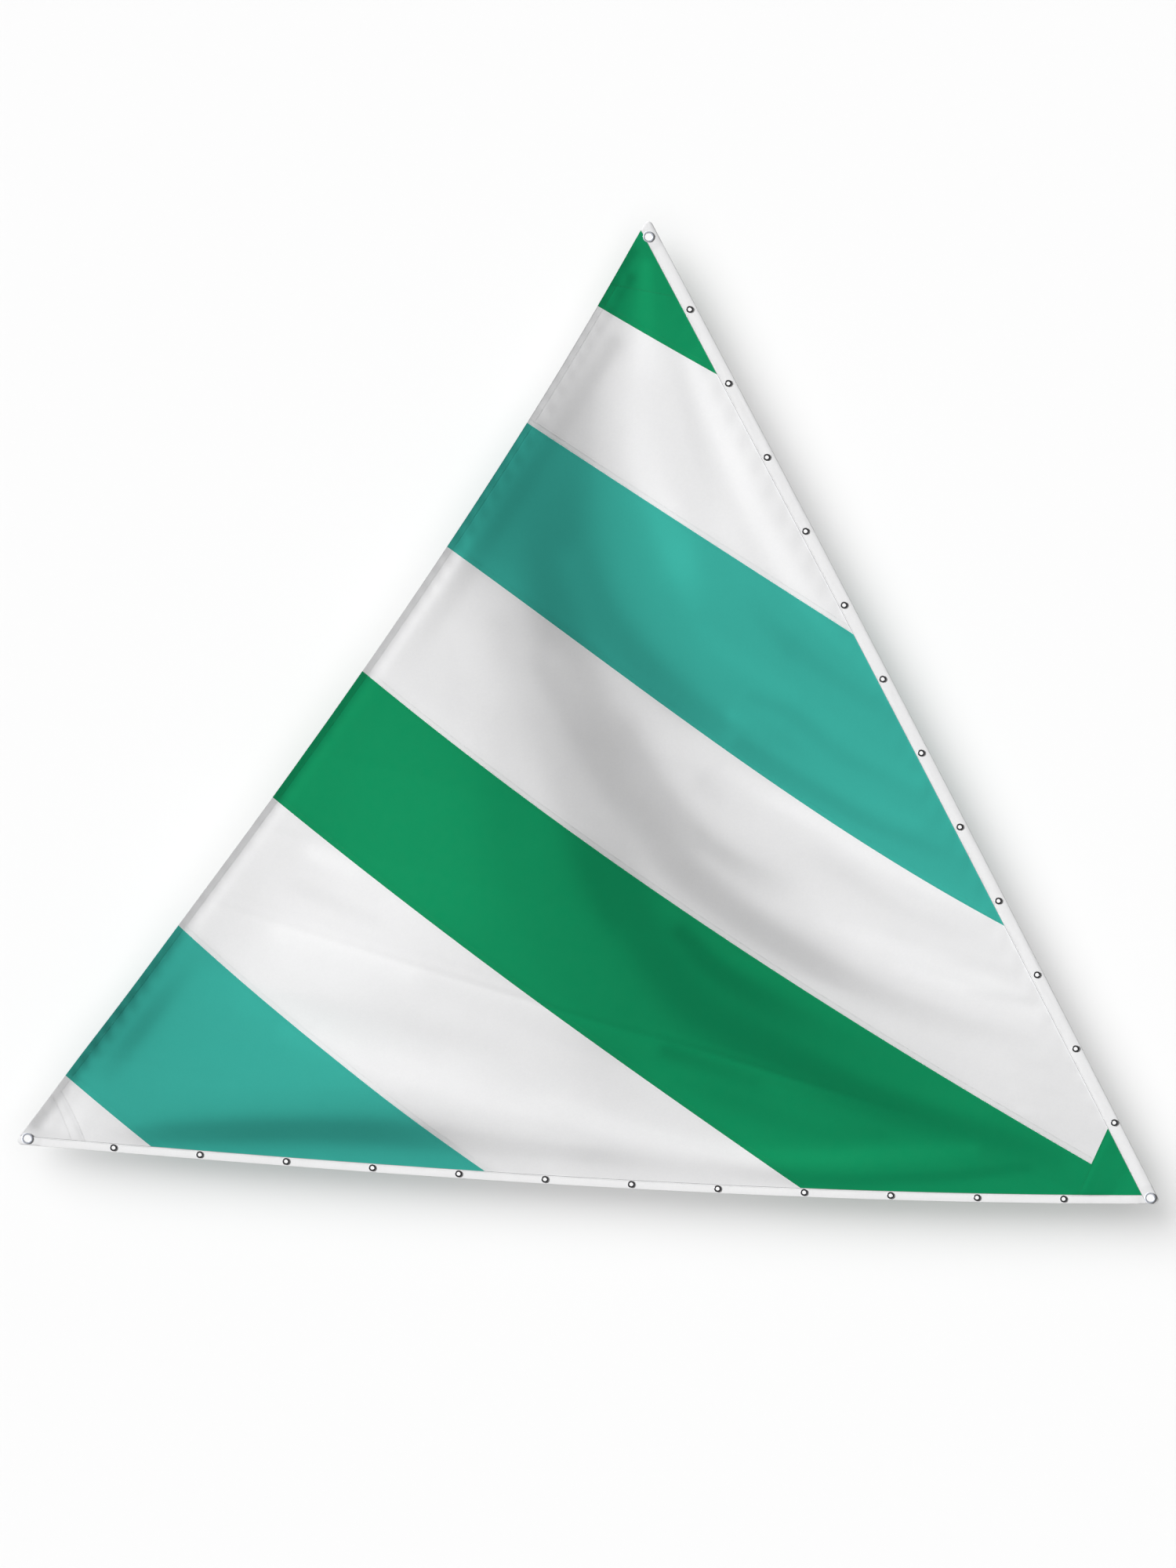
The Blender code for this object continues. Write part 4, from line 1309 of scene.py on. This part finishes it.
sides = 64
eyelets = []
for row, centres, front, back, high in (
    ("luff", luff_centres, 3.95 * MM, 3.35 * MM, (2.7 * MM, 2.1 * MM)),
    ("foot", foot_centres, 3.35 * MM, 2.75 * MM, (2.1 * MM, 1.5 * MM)),
):
    for k, centre in enumerate(centres, 1):
        node_name = "%s_eyelet_%02d" % (row, k)
        obj = turned(node_name + "_ring", centre, eyelet_profile(
            6.75 * MM, 12.5 * MM, 12.0 * MM, front, back, *high), sides, DARK_METAL)
        keep(obj, [node_name])
        eyelets.append(obj)
for corner, centre, front, back, high in (
    ("head", HEAD, 3.95 * MM, 4.45 * MM, (2.7 * MM, 2.1 * MM)),
    ("tack", TACK, 3.95 * MM, 4.45 * MM, (2.7 * MM, 2.1 * MM)),
    ("clew", CLEW, 3.35 * MM, 3.85 * MM, (2.1 * MM, 1.5 * MM)),
):
    seat = back - 1.1 * MM
    obj = turned(corner + "_eyelet_ring", centre, eyelet_profile(
        13.5 * MM, 20.0 * MM, 18.0 * MM, front, back, high[0], seat + 0.1 * MM),
        sides + 32, BRIGHT_METAL)
    keep(obj, [corner + "_eyelet"])
    eyelets.append(obj)
    obj = turned(corner + "_washer_ring", centre, washer_profile(
        15.3 * MM, 20.0 * MM, high[1] - 0.1 * MM, seat), sides + 32, BRIGHT_METAL)
    keep(obj, [corner + "_eyelet_washer"])
    eyelets.append(obj)


# ---------------------------------------------------------------- stitching
def resample(x, z, pitch):
    d = np.concatenate([[0.0], np.cumsum(np.hypot(np.diff(x), np.diff(z)))])
    n = max(int(d[-1] / pitch), 2)
    q = np.linspace(0.0, d[-1], n + 1)
    return np.interp(q, d, x), np.interp(q, d, z)


def stitch_line(x, z, lift, side, pitch=4.0 * MM, width=2.8 * MM, seed=1):
    """Zigzag thread along a line, as three-sided strands from hole to hole.

    lift gives y for places on the sewn surface; side is -1 on the front.
    """
    x, z = resample(np.asarray(x), np.asarray(z), pitch / 2)
    tx, tz = np.gradient(x), np.gradient(z)
    n = np.hypot(tx, tz)
    tx, tz = tx / n, tz / n
    swing = np.where(np.arange(len(x)) % 2 == 0, 0.5, -0.5) * width
    swing = swing * (1 + 0.06 * noise_1d(np.arange(len(x)) * 0.7, seed))
    x, z = x - tz * swing, z + tx * swing
    y = lift(x, z)
    ends = np.stack([x, y, z], axis=1)
    a, b = ends[:-1], ends[1:]
    a, b = a + (b - a) * 0.03, b + (a - b) * 0.03
    d = b - a
    across = np.stack([-d[:, 2], np.zeros(len(d)), d[:, 0]], axis=1)
    across /= np.linalg.norm(across, axis=1)[:, None]
    up = np.array((0.0, float(side), 0.0))
    r = 0.13 * MM
    middle = (a + b) / 2 + up * 0.02 * MM
    rings = []
    for p, k in ((a, 0.8), (middle, 1.0), (b, 0.8)):
        rings.append(np.stack([p - across * r * k, p + across * r * k,
                               p + up * r * 0.6 * k], axis=1))
    V = np.stack(rings, axis=1).reshape(-1, 3)  # segment, ring, corner
    base = (np.arange(len(d)) * 9)[:, None, None]
    quads = []
    for ring in (0, 1):
        for c0, c1 in ((0, 2), (2, 1)):
            quads.append([ring * 3 + c0, ring * 3 + c1, ring * 3 + 3 + c1,
                          ring * 3 + 3 + c0])
    quads = np.array(quads)[None] + base
    return V, quads.reshape(-1, 4)


def sew(name, lines, colour):
    verts, faces, start = [], [], 0
    for V, F in lines:
        verts.append(V)
        faces.append(F + start)
        start += len(V)
    obj = new_mesh(name, np.concatenate(verts), np.concatenate(faces),
                   [THREADS[colour]])
    return keep(obj, [])


def on_cloth(offset):
    def lift(x, z):
        return offset - stand(x, z)
    return lift


threads = []
u = np.linspace(0.0, 1.0, 400)
for k, seam in enumerate(SEAM_ROWS, 1):
    front, back = [], []
    for d, seed in ((2.4 * MM, 1), (LAP_W - 2.6 * MM, 2)):
        row = seam.lapped(d)
        x, z = row.points(u)
        ok = (leech.inset(x, z) > 0.002) & (luff.inset(x, z) > LUFF_TAPE_W - 0.003)
        ok &= foot.inset(x, z) > FOOT_TAPE_W - 0.003
        x, z = x[ok], z[ok]
        front.append(stitch_line(x, z, on_cloth(-LAY - 0.03 * MM), -1, seed=seed))
        far = (leech.inset(x, z) > HEM_W)
        back.append(stitch_line(x[far], z[far], on_cloth(LAY + 0.03 * MM), 1,
                                seed=seed))
    threads.append(sew("seam_%d_needle_thread" % k, front, PANEL_CLOTH[k - 1]))
    threads.append(sew("seam_%d_bobbin_thread" % k, back, PANEL_CLOTH[k]))


def tape_lift(tape, side):
    def lift(x, z):
        s, inset = tape.edge.place(x, z)
        return tape.leaf(s, inset, side) - stand(x, z) + side * 0.03 * MM
    return lift


s = np.linspace(0.0, 1.0, 900)
for tape, name, s0, s1, inset in (
    (LUFF, "luff_tape_thread", 0.008, 0.990, LUFF_TAPE_W - 0.0046),
    (FOOT, "foot_tape_thread", 0.012, 0.992, FOOT_TAPE_W - 0.0046),
):
    x, z = tape.edge.point(s0 + (s1 - s0) * s, inset)
    threads.append(sew(name, [
        stitch_line(x, z, tape_lift(tape, -1), -1, seed=5),
        stitch_line(x, z, tape_lift(tape, 1), 1, seed=6),
    ], "tape"))
cuts = [0.012] + [row.s for row in SEAM_ROWS] + [0.988]
for index, (s0, s1) in enumerate(zip(cuts, cuts[1:])):
    x, z = leech.point(s0 + (s1 - s0) * np.linspace(0.0, 1.0, 200), HEM_W - 0.0042)
    threads.append(sew(PANEL_NAMES[index] + "_hem_thread", [
        stitch_line(x, z, on_cloth(-LAY - 0.03 * MM), -1, seed=7),
        stitch_line(x, z, on_cloth(HEM_BACK + LAY + 0.03 * MM), 1, seed=8),
    ], PANEL_CLOTH[index]))
for name, colour, offset, sink, corner in PATCHES:
    X, Z = fan_points(*FANS[name], 60, 60)
    x, z = X[-2] * 0.6 + X[-1] * 0.4, Z[-2] * 0.6 + Z[-1] * 0.4
    side = math.copysign(1.0, offset)
    lift = on_cloth(offset - side * (sink - 0.04 * MM))
    threads.append(sew(name + "_thread", [stitch_line(x, z, lift, side, seed=9)],
                       colour))

# -------------------------------------------------------------- areas of the cloth
def surface_area(obj):
    mesh = obj.data
    areas = np.zeros(len(mesh.polygons), np.float32)
    mesh.polygons.foreach_get("area", areas)
    return float(areas.sum())


for obj in panels:
    round(surface_area(obj), 3)
PATCH_SIZES = {
    "head_patch": (0.25, 0.26),
    "head_patch_inner": (0.17, 0.17),
    "tack_patch": (0.28, 0.33),
    "tack_patch_inner": (0.17, 0.20),
    "clew_patch": (0.22, 0.23),
    "clew_patch_inner": (0.17, 0.19),
}
for name, obj in patches.items():
    a, b = PATCH_SIZES[name]
    area = min(max(surface_area(obj), 0.31 * a * b), a * b)

# ------------------------------------------------------------------- studio
WALL_Y = 0.160
FLOOR_Z = -1.75


def plane(name, corners, material):
    mesh = bpy.data.meshes.new(name)
    mesh.from_pydata(corners, [], [(0, 1, 2, 3)])
    mesh.materials.append(material)
    obj = bpy.data.objects.new(name, mesh)
    bpy.context.scene.collection.objects.link(obj)
    return obj


def wall_material():
    """A pale matt wall, seen from its front only."""
    s = Shade("studio_wall")
    matt = s.add("ShaderNodeBsdfDiffuse", {"Color": (0.40, 0.40, 0.40, 1.0)})
    light = s.add("ShaderNodeEmission", {"Color": (1.0, 1.0, 1.0, 1.0),
                                         "Strength": 0.272})
    both = s.add("ShaderNodeAddShader", {0: matt.outputs[0], 1: light.outputs[0]})
    clear = s.add("ShaderNodeBsdfTransparent")
    side = s.add("ShaderNodeNewGeometry")
    mixed = s.add("ShaderNodeMixShader", {0: side.outputs["Backfacing"],
                                          1: both.outputs[0], 2: clear.outputs[0]})
    s.link(mixed.outputs[0], s.out.inputs["Surface"])
    return s.material


def floor_material():
    s = Shade("studio_floor")
    where = s.add("ShaderNodeTexCoord").outputs["Object"]
    soft = s.noise(where, 0.8, 2.0)
    tone = s.mix(soft, (0.80, 0.80, 0.79, 1.0), (0.84, 0.84, 0.83, 1.0))
    body = s.add("ShaderNodeBsdfPrincipled", {"Base Color": tone, "Roughness": 0.8})
    s.link(body.outputs[0], s.out.inputs["Surface"])
    return s.material


wall = plane("studio_wall", [(-11.0, WALL_Y, FLOOR_Z), (7.0, WALL_Y, FLOOR_Z),
                             (7.0, WALL_Y, 9.0), (-11.0, WALL_Y, 9.0)],
             wall_material())
floor = plane("studio_floor", [(-16.0, -14.0, FLOOR_Z), (12.0, -14.0, FLOOR_Z),
                               (12.0, 14.0, FLOOR_Z), (-16.0, 14.0, FLOOR_Z)],
              floor_material())

# a glowing white disc close behind each eyelet: painted light, so that each hole shows white
# where the wall behind lies in the sail's shadow
DISTANCE = 40.0
VIEW_HEIGHT = 2000 * SCALE
centre_x, centre_z = place_of(750.0, 1000.0)


def painted_light_spots():
    verts, faces = [], []
    turn = np.linspace(0.0, 2 * np.pi, 24, endpoint=False)
    holes = [(c, 7.4 * MM, 3.6 * MM) for c in luff_centres]
    holes += [(c, 7.4 * MM, 3.0 * MM) for c in foot_centres]
    holes += [(HEAD, 14.2 * MM, 4.7 * MM), (TACK, 14.2 * MM, 4.7 * MM),
              (CLEW, 14.2 * MM, 4.1 * MM)]
    for (x, z), r, y in holes:
        faces.append(tuple(range(len(verts), len(verts) + 24)))
        verts += [(x + r * math.cos(a), y, z + r * math.sin(a)) for a in turn]
    s = Shade("studio_painted_light")
    # painted light: the disc glows white, though it is no lamp
    light = s.add("ShaderNodeEmission", {"Color": (1.0, 1.0, 1.0, 1.0),
                                         "Strength": 0.97})
    clear = s.add("ShaderNodeBsdfTransparent")
    side = s.add("ShaderNodeNewGeometry")
    mixed = s.add("ShaderNodeMixShader", {0: side.outputs["Backfacing"],
                                          1: light.outputs[0], 2: clear.outputs[0]})
    s.link(mixed.outputs[0], s.out.inputs["Surface"])
    mesh = bpy.data.meshes.new("studio_painted_light_spots")
    mesh.from_pydata(verts, [], faces)
    mesh.materials.append(s.material)
    obj = bpy.data.objects.new("studio_painted_light_spots", mesh)
    bpy.context.scene.collection.objects.link(obj)
    obj.visible_diffuse = obj.visible_glossy = obj.visible_transmission = False
    obj.visible_shadow = False
    return obj


spots = painted_light_spots()
wall.visible_diffuse = wall.visible_glossy = wall.visible_transmission = False
wall.visible_shadow = False
floor.visible_shadow = False
floor.visible_diffuse = floor.visible_glossy = floor.visible_transmission = False


def sun(name, towards, strength, angle, receivers):
    """A soft parallel light; towards points from the sail to the light."""
    data = bpy.data.lights.new(name, "SUN")
    data.energy = strength
    data.angle = math.radians(angle)
    obj = bpy.data.objects.new(name, data)
    obj.rotation_euler = Vector(towards).to_track_quat("Z", "Y").to_euler()
    obj.location = Vector(towards) * 6.0 + Vector((-2.0, 0.0, 1.5))
    bpy.context.scene.collection.objects.link(obj)
    group = bpy.data.collections.new(name + "_lit")
    for o in receivers:
        group.objects.link(o)
    obj.light_linking.receiver_collection = group
    return obj


def direction(azimuth, elevation, side=-1.0):
    a, e = math.radians(azimuth), math.radians(elevation)
    return (math.cos(a) * math.cos(e), side * math.sin(e), math.sin(a) * math.cos(e))


sun("key", direction(KEY_AZ, KEY_EL), 13.2, 7.0, PIECES)
sun("back_fill", direction(120.0, 45.0, 1.0), 1.8, 30.0, PIECES)
sun("wall_light_low", direction(137.0, 41.0), 3.71, 45.0, [wall])
sun("wall_light_high", direction(142.0, 75.0), 2.76, 95.0, [wall])
sun("floor_light", (0.1, -0.3, 1.0), 2.6, 30.0, [floor])

world = bpy.data.worlds.new("studio")
bpy.context.scene.world = world
world.use_nodes = True
tree = world.node_tree
tree.nodes.clear()
rays = tree.nodes.new("ShaderNodeLightPath")
dim = tree.nodes.new("ShaderNodeBackground")
dim.inputs["Color"].default_value = (1.0, 1.0, 1.0, 1.0)
dim.inputs["Strength"].default_value = 0.155
seen = tree.nodes.new("ShaderNodeBackground")
seen.inputs["Color"].default_value = (0.985, 0.985, 0.985, 1.0)
seen.inputs["Strength"].default_value = 1.0
both = tree.nodes.new("ShaderNodeMixShader")
out = tree.nodes.new("ShaderNodeOutputWorld")
tree.links.new(rays.outputs["Is Camera Ray"], both.inputs[0])
tree.links.new(dim.outputs[0], both.inputs[1])
tree.links.new(seen.outputs[0], both.inputs[2])
tree.links.new(both.outputs[0], out.inputs["Surface"])

# ------------------------------------------------------------------- camera
camera_data = bpy.data.cameras.new("camera")
camera_data.sensor_width = 36.0
camera_data.lens = 36.0 * DISTANCE / VIEW_HEIGHT
camera_data.clip_end = 200.0
camera = bpy.data.objects.new("camera", camera_data)
camera.location = (centre_x, -DISTANCE, centre_z)
camera.rotation_euler = (math.pi / 2.0, 0.0, 0.0)
bpy.context.scene.collection.objects.link(camera)
bpy.context.scene.camera = camera

view = bpy.context.scene.view_settings
view.view_transform = "Standard"
view.look = "None"
view.exposure = 0.0
view.gamma = 1.0
